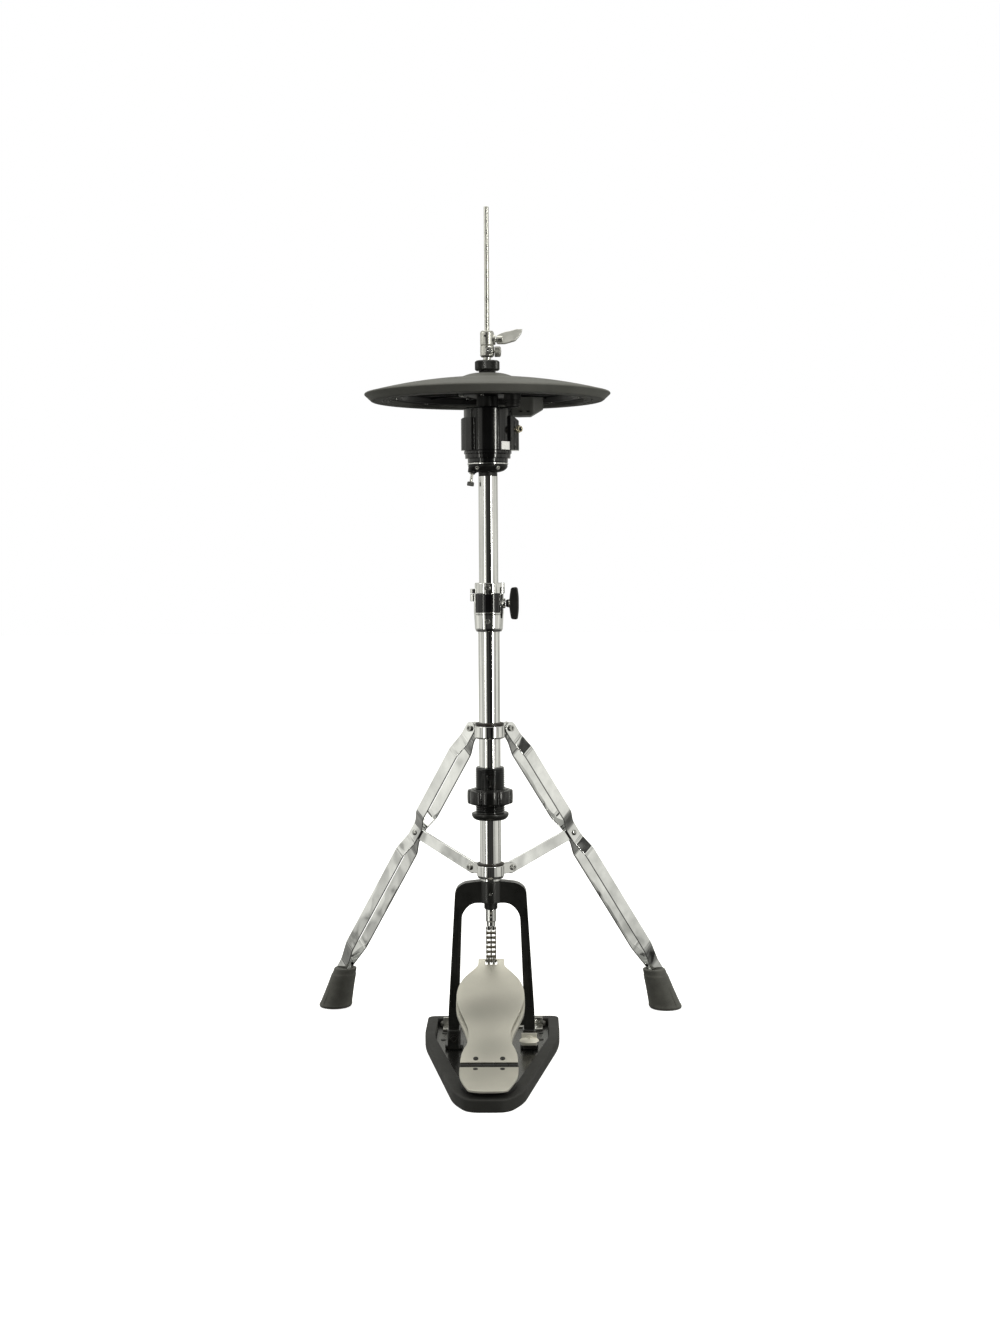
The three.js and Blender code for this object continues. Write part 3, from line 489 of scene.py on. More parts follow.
def socket_head(start, end, r, socket=0.5, steps=40):
    """A screw head from start to end with a hexagon socket in its face."""
    length = (Vector(end) - Vector(start)).length
    deep = length * 0.35

    def hexed(reach, z, angle):
        if reach > r * socket * 1.2:
            return reach
        return hexagonal(reach, angle)

    profile = [(0, 0), (r, 0), (r, length), (r * socket, length), (r * socket, deep), (0, deep)]
    return moved(turned(profile, 0.35, steps, hexed), facing(start, end))


def dome_head(start, end, r, steps=32):
    length = (Vector(end) - Vector(start)).length
    dome = arc(r, 0, 90, 15, y=length * 0.35, rise=length * 0.65)
    return moved(turned([(0, 0), (r, 0), *dome, (0, length)], 0.05, steps), facing(start, end))


# ---------------------------------------------------------------- putting shapes into the scene
def link(name, shapes, crease=38):
    whole = bmesh.new()
    for shape in shapes:
        scratch = bpy.data.meshes.new("scratch")
        shape.to_mesh(scratch)
        shape.free()
        whole.from_mesh(scratch)
        bpy.data.meshes.remove(scratch)
    bmesh.ops.scale(whole, vec=(MM, MM, MM), verts=whole.verts)
    for face in whole.faces:
        face.smooth = True
    for edge in whole.edges:
        if len(edge.link_faces) == 2 and edge.calc_face_angle(0) > radians(crease):
            edge.smooth = False
    mesh = bpy.data.meshes.new(name)
    whole.to_mesh(mesh)
    whole.free()
    obj = bpy.data.objects.new(name, mesh)
    bpy.context.scene.collection.objects.link(obj)
    return obj


def carve(obj, cutters):
    """Cuts each shape out of the object and keeps the result as its mesh."""
    for shape in cutters:
        tool = link("cutter", [shape])
        modifier = obj.modifiers.new("cut", "BOOLEAN")
        modifier.operation = "DIFFERENCE"
        modifier.solver = "EXACT"
        modifier.object = tool
        graph = bpy.context.evaluated_depsgraph_get()
        result = bpy.data.meshes.new_from_object(obj.evaluated_get(graph))
        obj.modifiers.clear()
        old = obj.data
        obj.data = result
        bpy.data.meshes.remove(old)
        bpy.data.objects.remove(tool)


def soften(obj, width, segments=3):
    modifier = obj.modifiers.new("edges", "BEVEL")
    modifier.width = width * MM
    modifier.segments = segments
    modifier.limit_method = "ANGLE"
    modifier.angle_limit = radians(32)
    modifier.harden_normals = True


def piece(name, shapes, body, look, nodes=(), cut=(), edge=0.0, crease=38, slot=None):
    """Adds a finished piece that rides on a body and stands for the CAD nodes it names."""
    obj = link(name, shapes, crease)
    if cut:
        carve(obj, cut)
    if edge:
        soften(obj, edge)
    weigh = obj.modifiers.new("normals", "WEIGHTED_NORMAL")
    weigh.keep_sharp = True
    obj.data.materials.clear()
    obj.data.materials.append(LOOKS[look])
    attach(obj, body)
    slot = slot or SLOTS[look]
    if nodes:
        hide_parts(*nodes)
    return obj


def keep(node, look, edge=0.3):
    """Keeps a CAD node's own shape, with soft edges and a better material."""
    obj = bpy.data.objects[node]
    obj.data.materials.clear()
    obj.data.materials.append(LOOKS[look])
    if edge:
        soften(obj, edge, 2)


# ---------------------------------------------------------------- base
BASE_HEIGHT = span("base_frame", Z)[1]
BASE_HALF = span("base_frame", X)[1]
BASE_FRONT, BASE_REAR = span("base_frame", Y)
BASE_FLOOR = span("base_plate", Z)[0] - 0.3


def base_outline(inset):
    corner = max(3, 16 - inset * 0.6)
    return mirrored([(26 - inset * 0.4, BASE_FRONT + inset * 1.5, corner),
        (44 - inset, BASE_FRONT + 36.5 + inset, corner), (BASE_HALF - inset, 22, 2.2 * corner),
        (BASE_HALF - inset, BASE_REAR - 6 - inset * 0.6, 4), (BASE_HALF - 6.5 - inset, BASE_REAR - inset, 6)])


def build_base():
    ring = piece("base_frame_moulding",
        [prism(base_outline(0), 0, BASE_HEIGHT, radius=4, steps=6)], "stand", "base_rubber",
        ["base_frame"], cut=[prism(base_outline(14.7), BASE_FLOOR, 40, radius=5, steps=6)], edge=2.2)
    ring.modifiers["edges"].segments = 4
    keep("base_plate", "plate", 0.5)
    # the screws that hold the plate in the frame
    screws = [dome_head((x, y, 6.9), (x, y, 8.3), 3.6) for x in (-66, 66) for y in (36, 70)]
    screws += [dome_head((x, -190, 6.9), (x, -190, 8.3), 3.2) for x in (-26, 26)]
    piece("base_plate_screws", screws, "stand", "dark_screw")
    low, high = span("heel_block", Z)
    front, rear = span("heel_block", Y)
    piece("heel_block_moulding", [prism(mirrored([(25, front, 5), (33.5, front + 19, 6), (33.5, rear, 2)]),
        BASE_HEIGHT + 0.3, high, radius=3),
        prism(mirrored([(19, front + 1.2, 3), (28, front + 28, 4), (32.3, rear, 1)]), low, high - 1, radius=2)],
        "stand", "matt_black", ["heel_block"], edge=0.8)
    # the rear bracket: a strap with two raised, bent-over lugs, each screwed down
    strap_low = span("rear_bracket", Z)[0]
    strap_front, strap_rear = span("rear_bracket", Y)
    lugs = [block(-69, 69, 96, strap_rear, strap_low, strap_low + 2)]
    screws = []
    for x in (-58, 58):
        lugs.append(block(x - 11, x + 11, strap_front, strap_rear, strap_low, strap_low + 3))
        lugs.append(block(x - 11, x + 11, strap_rear - 3, strap_rear, strap_low, 21))
        screws.append(dome_head((x, 88, strap_low + 2.8), (x, 88, strap_low + 5.6), 4.4))
        screws.append(dome_head((x, strap_rear - 2.8, 15.5), (x, strap_rear - 5.4, 15.5), 3.0))
    piece("rear_bracket_bent", lugs, "stand", "nickel", ["rear_bracket"], edge=0.8)
    piece("rear_bracket_screws", screws, "stand", "steel")
    # rubber bumpers in the frame's rear corners
    bumpers = [moved(turned([(0, 7.3), (7.5, 7.3), (7.5, 12), (5.5, 13.6), (0, 13.6)], 0.8, 40),
        shift(x, 108.5, 0)) for x in (-66, 66)]
    piece("rear_bumpers", bumpers, "stand", "foot_rubber", slot="ribbed_rubber")


# ---------------------------------------------------------------- yoke
YOKE_FOOT_X = 50
BOLT_Z = 22


def build_yoke():
    depth = 9
    half = [(15, 232, 3), (36.8, 229.5, 8),
        (47.2, 221, 12), (57.2, 56), (57.2, 30), (43.2, 30), (43, 70), (38.6, 189, 12), (26, 203.2, 12)]
    arms = prism(mirrored(half), -depth, depth, along=Y, radius=0.5, steps=8)
    # a long shallow channel down the front and the back of each arm
    channels = []
    for side in (-1, 1):
        for face in (-1, 1):
            channel = [(side * 46.8, 196), (side * 42.8, 196), (side * 47.4, 62), (side * 53.4, 62)]
            near, far = sorted((face * (depth - 1.3), face * (depth + 3)))
            channels.append(prism(channel, near, far, along=Y, radius=1.6))
    channels.append(tube(0, 15.0, 190, 240, 0.1, 64))
    piece("yoke_arms", [arms], "stand", "black_paint", ["yoke"], cut=channels, edge=2.4)
    hub = turned([(6.5, 203),
        (15.5, 203, 1.2), (15.5, 232, 1.4), (12.6, 232, 0.3), (12.6, 262, 0.8), (6.5, 262)], 0.5, 96)
    piece("yoke_hub", [hub], "stand", "black_paint", cut=[bar((0, -20, 215.5), (0, -12.4, 215.5), 2.9)])
    feet = []
    for side in (-1, 1):
        x = YOKE_FOOT_X * side
        feet.append(prism([(x - 8.5, -16), (x + 8.5, -16), (x + 8.5, 12), (x - 8.5, 12)], 7.3, 34, radius=3))
        feet.append(prism([(x - 12, -13), (x + 12, -13), (x + 12, 14), (x - 12, 14)], 7.3, 13, radius=3.5))
    piece("yoke_feet", feet, "stand", "black_paint", edge=1.6)
    low, high = span("yoke_bush", Z)
    piece("yoke_neck_bush",
        [turned([(4.2, low), (8.9, low, 1.2), (8.9, 202.6), (6.1, 202.6), (6.1, high), (4.2, high)], 0.4, 64)],
        "stand", "matt_black", ["yoke_bush"])
    piece("yoke_grub_screw",
        [socket_head((0, -12.4, 215.5), (0, -14.8, 215.5), 2.3, 0.55)], "stand", "steel", ["yoke_set_screw"])
    # the left foot's bolt with its washer, and the wing bolt that clamps the right one
    piece("base_bolt_head", [bar((-YOKE_FOOT_X, -8.6, BOLT_Z), (-YOKE_FOOT_X, -17, BOLT_Z), 3.2),
        bar((-YOKE_FOOT_X, -16.3, BOLT_Z), (-YOKE_FOOT_X, -17.2, BOLT_Z), 6.4),
        socket_head((-YOKE_FOOT_X, -17.2, BOLT_Z), (-YOKE_FOOT_X, -20.5, BOLT_Z), 4.6, 0.55)],
        "stand", "dark_screw", ["base_bolt"])
    stem = bar((YOKE_FOOT_X, -8.6, BOLT_Z), (YOKE_FOOT_X, -24, BOLT_Z), 3.2)
    dome = arc(13, -75, 76, 10, rise=3.4)
    wing = turned([(0, -3.4), *dome, (0, 3.4)], 0.0, 72)
    moved(wing, shift(YOKE_FOOT_X, -23, BOLT_Z) @ Matrix.Diagonal((1, 1, 0.28, 1)) @ spin(72, "X"))
    flat = prism([(39.6, 13.5), (60.4, 13.5), (60.4, 30.6), (39.6, 30.6)], -18.2, -16.3, along=Y, radius=1.5)
    piece("base_clamp_plate", [flat], "stand", "blasted", edge=0.6, slot="nickel")
    collar = bar((YOKE_FOOT_X, -18.5, BOLT_Z), (YOKE_FOOT_X, -20.5, BOLT_Z), 5.6, 0.6)
    piece("base_wing_bolt_cast",
        [stem, collar, wing], "base_wing_bolt", "blasted", ["base_wing_bolt"], slot="nickel")


# ---------------------------------------------------------------- pedal
HINGE = pivot("pedal_hinge")
PEDAL_SLOPE = 25.1
HEEL_SLOPE = 7.0
PLATE = 3.2               # thickness of the footboard and the heel plate
RIVETS_X = (-16.7, 16.7)
KNUCKLES = ((-23.7, -8.3), (8.3, 23.7))     # the footboard's, between the heel plate's
ROOF = 3.4                # underside of the footboard, above the hinge's axis


def pedal_frame(slope):
    return Matrix.Translation(HINGE) @ spin(slope, "X")


def knuckle(x0, x1):
    ring = tube(3.3, 5.6, x0, x1, 0.4, 48)
    return moved(ring, shift(0, HINGE.y, HINGE.z) @ spin(90, "Y"))


def rivet(r, shoulder, high, radius, lay):
    return moved(turned([(0, 0), (r, 0), (r - 0.3, shoulder), (0, high)], radius, 40), lay)


def build_pedal():
    toe = 208
    lay = pedal_frame(PEDAL_SLOPE)
    sides = smooth_through([(36, 2), (35.4, 10), (34.4, 18), (31.9, 27.5),
        (28.3, 37), (26.8, 48), (27.6, 65), (33.5, 85), (39.8, 105), (43.6, 124), (43.7, 138), (41.4, 152),
        (36.1, 166), (29.8, 176), (22.2, 186.6), (18.4, 193), (17.3, 199), (17.3, toe - 1.5), (16.2, toe)])
    top = moved(prism(mirrored(sides), ROOF, ROOF + PLATE), lay)
    slot = moved(prism([(-8, toe - 12.5), (8, toe - 12.5), (8, toe - 2.2), (-8, toe - 2.2)],
        -10, 20, radius=1.5), lay)
    piece("footboard_plate", [top], "pedal", "blasted",
        ["footboard"], cut=[slot, bar((-40, HINGE.y, HINGE.z), (40, HINGE.y, HINGE.z), 5.9)], edge=0.7)

    outer = smooth_through([(33, 9), (32, 20),
        (29, 30), (28, 46), (31, 62), (37.5, 82), (43.2, 103), (44.5, 126), (42.5, 145), (33, 165), (22, 178)])
    inner = smooth_through([(26, 15),
        (24, 30), (23.5, 46), (26, 64), (32.5, 84), (38.2, 104), (39.3, 126), (37, 144), (29, 158), (20, 168)])
    rail = moved(prism(mirrored(outer), -4, ROOF - 1.4), lay)
    hollow = moved(prism(mirrored(inner), -12, 12), lay)
    arms = [moved(block(x0, x1, 3, 16, -4, 2.4), lay) for x0, x1 in KNUCKLES]
    piece("footboard_rail_cast", [rail], "pedal", "blasted", ["footboard_rail"], cut=[hollow], edge=0.9)
    piece("footboard_knuckles",
        [*[knuckle(x0, x1) for x0, x1 in KNUCKLES], *arms], "pedal", "matt_black", slot="black_casting")
    piece("footboard_rivets",
        [rivet(3.4, 0.75, 1.0, 0.25, lay @ shift(x, 9.0, ROOF + PLATE - 0.1)) for x in RIVETS_X],
        "pedal", "dark_screw")
    keep("chain_anchor", "nickel", 0.4)

    heel = mirrored([(9, -79),
        (17, -77.6, 2), (24, -74.5, 3), (30, -58, 9), (34.2, -43, 9), (36.2, -28, 9), (36.4, -7, 1)])
    tilted = Matrix.Translation(HINGE + Vector((0, 0, 0.6))) @ spin(HEEL_SLOPE, "X")
    plate = moved(prism(heel, 0, PLATE, radius=1.5, steps=6), tilted)
    piece("heel_plate_sheet", [plate], "stand", "blasted", ["heel_plate"], edge=0.7)
    web = block(-35.5, 35.5, HINGE.y - 12, HINGE.y - 6.4, HINGE.z - 5, HINGE.z + 1.2)
    piece("heel_knuckles", [web, *[knuckle(*ends) for ends in ((-35.5, -24.3), (-7.7, 7.7), (24.3, 35.5))]],
        "stand", "matt_black", slot="blasted_alloy")
    head = [rivet(3.2, 0.7, 0.9, 0.2, tilted @ shift(x, -13.4, PLATE - 0.1)) for x in RIVETS_X]
    piece("heel_plate_rivets", head, "stand", "dark_screw")
    reach = span("hinge_rod", X)[1]
    piece("hinge_rod_turned", [bar((-reach + 0.8, HINGE.y, HINGE.z), (reach - 0.8, HINGE.y, HINGE.z), 3.0, 0.6),
        bar((-reach, HINGE.y, HINGE.z), (reach, HINGE.y, HINGE.z), 2.3, 0.4)],
        "stand", "dark_screw", ["hinge_rod"], slot="black_casting")


# ---------------------------------------------------------------- chain
CHAIN_PLATES = (-6.05, 0.0, 6.05)


def link_plate(x, z, pitch, thick):
    """One figure-of-eight link plate between two pins, z being the upper one."""
    lobe, waist = 2.55, 1.75
    upper = arc(lobe, -30, 211, 20, y=z)
    lower = arc(lobe, 150, 391, 20, y=z - pitch)
    middle = z - pitch / 2
    outline = [*upper, (-waist, middle), *lower, (waist, middle)]
    return prism(outline, x - thick / 2, x + thick / 2, along=X)


def build_chain():
    top = pivot("chain_swing").z
    low = span("chain", Z)[0] + 2.6
    rows = 8
    pitch = (top - low) / (rows - 1)
    plates, pins, rollers = [], [], []
    for i in range(rows - 1):
        z = top - i * pitch
        inner = i % 2
        for x in CHAIN_PLATES:
            toward = math.copysign(0.62 * inner, -x) if x else 0.0
            plates.append(link_plate(x + toward, z, pitch, 1.1 if x else 1.5 + 0.7 * inner))
    for i in range(rows):
        z = top - i * pitch
        pins.append(bar((-6.9, 0, z), (6.9, 0, z), 1.35, 0.3, 24))
        if 0 < i < rows - 1:
            rollers += [bar((s * 1.4, 0, z), (s * 4.9, 0, z), 1.95, 0.25, 28) for s in (-1, 1)]
    piece("chain_link_plates", plates, "chain", "chain", ["chain"], edge=0.18)
    piece("chain_pins", pins, "chain", "chain")
    piece("chain_rollers", rollers, "chain", "chain")


# ---------------------------------------------------------------- pull rod and spring
def build_rod():
    low, high = span("upper_pull_rod", Z)
    piece("upper_pull_rod_turned",
        [turned([(0, low), (3.2, low), (3.2, high, 1.6), (0, high)], 0.4, 48, corner_steps=6)],
        "pull_rod", "nickel", ["upper_pull_rod"], slot="chrome")
    low, high = span("lower_pull_rod", Z)
    stop = span("return_spring", Z)[1]
    hexagon = tube(0, 7, 470, high, 0.4, 6)
    piece("lower_pull_rod_turned", [tube(0, 3.6, low, 471, 0.3, 48),
        tube(3.6, 11.4, stop + 0.4, stop + 4.6, 0.5, 64), hexagon], "pull_rod", "steel", ["lower_pull_rod"])
    top = span("rod_coupler", Z)[1]
    body = turned([(0, 170.8), (6, 170.8), (6, 177), (7.2, 177.6), (7.2, top), (0, top)], 0.45, 72)
    tongues = [prism([(-2.4, 164.6), (2.4, 164.6), (2.4, 172), (-2.4, 172)],
        x - 1.9, x + 1.9, along=X, radius=1.6) for x in (-3.05, 3.05)]
    piece("rod_coupler_turned",
        [body], "pull_rod", "chrome", ["rod_coupler"], cut=[bar((0, -12, 186), (0, -3, 186), 1.7)])
    piece("rod_coupler_tongues", tongues, "pull_rod", "chrome", edge=0.4)
    piece("rod_coupler_screw",
        [socket_head((0, -3.4, 186), (0, -5.4, 186), 1.5, 0.55)], "pull_rod", "dark_screw")


def coil(radius, wire, turns, low, high, begin, finish, steps=24, around=12):
    """The stretch from begin to finish, as shares of its length, of a wire spring whose end turns lie flat."""
    shape = bmesh.new()
    rows = []
    for i in range(round(begin * turns * steps), round(finish * turns * steps) + 1):
        share = i / (turns * steps)
        angle = 2 * math.pi * turns * share
        eased = min(1, max(0, share + 0.045 * math.sin(2 * math.pi * share)))
        z = low + wire + (high - low - 2 * wire) * eased
        out = Vector((math.cos(angle), math.sin(angle), 0))
        row = []
        for k in range(around):
            t = 2 * math.pi * k / around
            row.append(shape.verts.new(out
                * (radius + wire * math.cos(t)) + Vector((0, 0, z + wire * math.sin(t)))))
        rows.append(row)
    return skin(shape, rows, capped=True)


def build_spring():
    low, high = span("return_spring", Z)
    # the half of the coil on the rod's stop rides on the pull rod, and the half on the seat rides with the seat
    upper = piece("return_spring_coil",
        [coil(8.0, 1.15, 7, low, high, 0.5, 1)], "pull_rod", "steel", ["return_spring"])
    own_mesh(upper)
    lower = piece("return_spring_lower_coil",
        [coil(8.0, 1.15, 7, low, high, 0, 0.5)], "spring_carriage", "steel")
    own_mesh(lower)
    low, high = span("spring_seat", Z)
    middle = (low + high) / 2
    piece("spring_seat_turned", [tube(4.2, 12.6, low, high, 0.6, 64),
        *[bar((0, 11 * s, middle), (0, 19 * s, middle), 1.9, 0.4) for s in (-1, 1)]],
        "spring_carriage", "steel", ["spring_seat"])


# ---------------------------------------------------------------- column
TUBE_R = span("lower_tube", X)[1]
SLOT = [(-2.3, 334), (2.3, 334), (2.3, 376), (-2.3, 376)]


def slot_cutters(inner, outer):
    return [prism(SLOT, min(inner * s, outer * s), max(inner * s, outer * s), along=Y, radius=2.2)
        for s in (-1, 1)]


def threaded(inner, root, crest, low, high, pitch, steps=96):
    """A tube with a real helical thread outside, faded out at both ends."""
    shape = bmesh.new()
    count = int((high - low) / pitch * 10)
    rows = []
    for i in range(count + 1):
        z = low + (high - low) * i / count
        fade = min(1, (z - low) / pitch, (high - z) / pitch)
        row = []
        for k in range(steps):
            phase = (z / pitch - k / steps) % 1
            height = max(0, min(1, (0.5 - abs(phase - 0.5)) * 3.4 - 0.35))
            r = root + (crest - root) * height * fade
            angle = 2 * math.pi * k / steps
            row.append(shape.verts.new((r * math.cos(angle), r * math.sin(angle), z)))
        rows.append(row)
    for z in (high, low):
        rows.append([shape.verts.new((inner * math.cos(2 * math.pi * k / steps),
            inner * math.sin(2 * math.pi * k / steps), z)) for k in range(steps)])
    return skin(shape, rows, closed=True)


T_BOLT_Z = 600


def build_column():
    low, high = span("lower_tube", Z)
    drawn = [(TUBE_R - 1.3, low), (TUBE_R, low), (TUBE_R, 328),
        (TUBE_R, 382), (TUBE_R, high), (TUBE_R - 1.3, high), (TUBE_R - 1.3, 382), (TUBE_R - 1.3, 328)]
    piece("lower_tube_drawn",
        [turned(drawn, 0.3, 128)], "stand", "chrome", ["lower_tube"], cut=slot_cutters(8, 30))
    bore = TUBE_R + 0.3
    low, high = span("threaded_sleeve", Z)
    flat = block(-6.2, 6.2, -30, -18.6, 322, 400)
    piece("threaded_sleeve_cut", [threaded(bore, 18.2, 19.5, 322.4, high, 2.8)],
        "stand", "nut_black", ["threaded_sleeve"], cut=[*slot_cutters(10, 30), flat])
    piece("threaded_sleeve_flange",
        [turned([(bore, low), (20.5, low, 2.5), (24.4, low + 4.5, 2.5), (24.6, 322.8, 1.2), (bore, 322.8)],
        0.5, 96)], "stand", "black_paint")
    low, high = span("tension_nut", Z)
    inner = 19.8

    def lobes(r, z, angle):
        if r < 25:
            return r
        wave = abs(math.cos(4 * angle)) ** 0.32
        return r - 3.0 * (1 - wave)

    piece("tension_nut_moulding", [turned([(inner, low), (23.5, low), (24.2, low + 1.2), (30.0, low + 1.6, 1.6),
        (30.4, (low + high) / 2, 3), (30.0, high - 1.6, 1.6), (24.2, high - 1.2), (23.5, high), (inner, high)],
        0.5, 160, lobes, 4)], "tension_nut", "nut_black", ["tension_nut"], crease=50)

    low, high = span("clamp_body", Z)
    outer = 19.7
    body = turned([(bore, low), (16.6, low, 1),
        (18.3, low + 3.2, 2), (19.3, 585), (outer, 587, 1), (outer, high, 0.7), (bore, high)], 0.5, 128)
    window = block(-17, 15.6, -40, -8, 588.2, high + 5)
    piece("clamp_body_cast", [body], "stand", "chrome", ["clamp_body"], cut=[window])
    piece("clamp_body_boss", [bar((15.6, 0, T_BOLT_Z), (22, 0, T_BOLT_Z), 6.5, 0.8, 64),
        prism([(-24.5, -5.6, 5), (-15, -6), (-15, 6), (-24.5, 5.6, 5)], 603, 612.6, radius=1)],
        "stand", "chrome", edge=0.5)
    z0, z1 = span("clamp_insert", Z)
    front = [*arc(19.6, -147, -37, 5), *arc(bore, -40, -146, -5)]
    piece("clamp_insert_moulding",
        [prism(front, z0, z1)], "stand", "gloss_black", ["clamp_insert"], edge=0.6, slot="matt_plastic")
    piece("clamp_body_screw",
        [socket_head((-1.5, -18.3, 576.5), (-1.5, -21.0, 576.5), 3.6, 0.62)], "stand", "steel")

    low, high = span("clamp_collar", Z)
    inside = span("upper_tube", X)[1] + 0.3
    collar = turned([(inside, low), (18.4, low), (18.4, high, 1.2), (inside, high)], 0.6, 96)
    lug = prism([(13.5, -8), (21, -6, 3), (21, 6, 3), (13.5, 8)], low, high, radius=2.0)
    catch = prism([(-24.4, -5, 4.6), (-16, -5), (-16, 5), (-24.4, 5, 4.6)], low + 0.1, low + 6, radius=1)
    piece("clamp_collar_cast", [collar], "upper_tube", "chrome", ["clamp_collar"])
    piece("clamp_collar_lugs",
        [lug, catch], "upper_tube", "chrome", cut=[tube(0, 17.8, low - 5, high + 5, 0.1, 96)], edge=0.8)
    piece("clamp_collar_screw", [bar((-1.2, -17.2, low + 7.4), (-1.2, -19.6, low + 7.4), 4.2, 0.7),
        socket_head((-1.2, -18.0, low + 7.4), (-1.2, -21.0, low + 7.4), 3.0, 0.55)], "upper_tube", "steel")

    x0 = span("clamp_t_bolt", X)[0]
    z0, z1 = span("clamp_t_bolt", Z)
    knob = prism([(27.2, 592, 3), (29.2, z0 + 0.6, 3), (38.0, z0, 3), (39.6, 591, 4), (39.6, 609, 4),
        (38.0, z1, 3), (29.2, z1 - 0.6, 3), (27.2, 608, 3)], -5.5, 5.5, along=Y, radius=2, steps=6)
    piece("clamp_t_knob", [knob], "clamp_t_bolt", "matt_black", ["clamp_t_bolt"], edge=1.6)
    piece("clamp_t_shank", [bar((x0, 0, T_BOLT_Z), (28, 0, T_BOLT_Z), 4.6, 0.5, 48),
        bar((x0 + 1.5, 0, T_BOLT_Z), (26.6, 0, T_BOLT_Z), 5.2, 0.5, 48)], "clamp_t_bolt", "matt_black")
    piece("clamp_t_ferrule", [bar((26.4, 0, T_BOLT_Z), (27.8, 0, T_BOLT_Z), 6.0, 0.4, 48),
        bar((25.8, 0, T_BOLT_Z), (26.6, 0, T_BOLT_Z), 5.5, 0.2, 48)], "clamp_t_bolt", "nickel", slot="steel")


# ---------------------------------------------------------------- legs
LEG_ANGLE = 37.8
LEG_LENGTH = 476.0
LEG_HALF_WIDTH = 9.0
# the bends of a leg strip: places along the leg and the strip's distance from the leg's centre plane
STRIP_BENDS = [(-8, 4.6), (18, 4.6),
    (42, 12.4), (160, 12.4), (180, 3.4), (206, 3.4), (230, 12.4), (422, 12.4), (458, 4.6), (LEG_LENGTH, 4.6)]
MIDDLE_PIVOT = 194.2      # along the leg from its hinge
BRACE_ANGLE = 73.5


def leg_turn(side):
    hinge = pivot(f"{side}_leg_hinge")
    return Matrix.Rotation(math.atan2(hinge.y, hinge.x), 4, "Z")


def along_leg(side):
    hinge = pivot(f"{side}_leg_hinge")
    reach = math.hypot(hinge.x, hinge.y)
    return leg_turn(side) @ shift(reach, 0, hinge.z) @ spin(90 - LEG_ANGLE, "Y")


def strip_offset(s):
    """How far a leg strip's middle stands from the leg's centre plane at s along it, its bends rounded."""
    def straight(at):
        for (s0, o0), (s1, o1) in zip(STRIP_BENDS, STRIP_BENDS[1:]):
            if at <= s1:
                return o0 + (o1 - o0) * (at - s0) / (s1 - s0)
        return STRIP_BENDS[-1][1]
    return sum(straight(s + step) for step in (-3, -1, 1, 3)) / 4


def leg_strip(side_sign):
    """A flat bar bent along its path, with its long edges rounded."""
    half_width, half_thick = LEG_HALF_WIDTH, 1.0
    section = rounded([(-half_width, -half_thick),
        (half_width, -half_thick), (half_width, half_thick), (-half_width, half_thick)], 0.75, 3)
    shape = bmesh.new()
    stations = [-8 + (LEG_LENGTH + 8) * i / 240 for i in range(241)]
    rows = []
    for s in stations:
        nose = min(1, math.sqrt(max(0.04, 1 - max(0, (0 - s) / 8.2) ** 2)))
        offset = strip_offset(s)
        rows.append([shape.verts.new((s, side_sign * offset + v, u * nose)) for u, v in section])
    return skin(shape, rows, capped=True)


def hinge_screw(part, lay, body, r, head, start):
    """The screw a leg or a brace turns on: its shank, and a head on each side from start outward."""
    shapes = [moved(bar((0, -6.2, 0), (0, 6.2, 0), r), lay)]
    shapes += [moved(socket_head((0, s * start, 0), (0, s * (start + 2.5), 0), head, 0.55), lay)
        for s in (-1, 1)]
    piece(f"{part}_hinge_screw", shapes, body, "steel", [f"{part}_pin"])


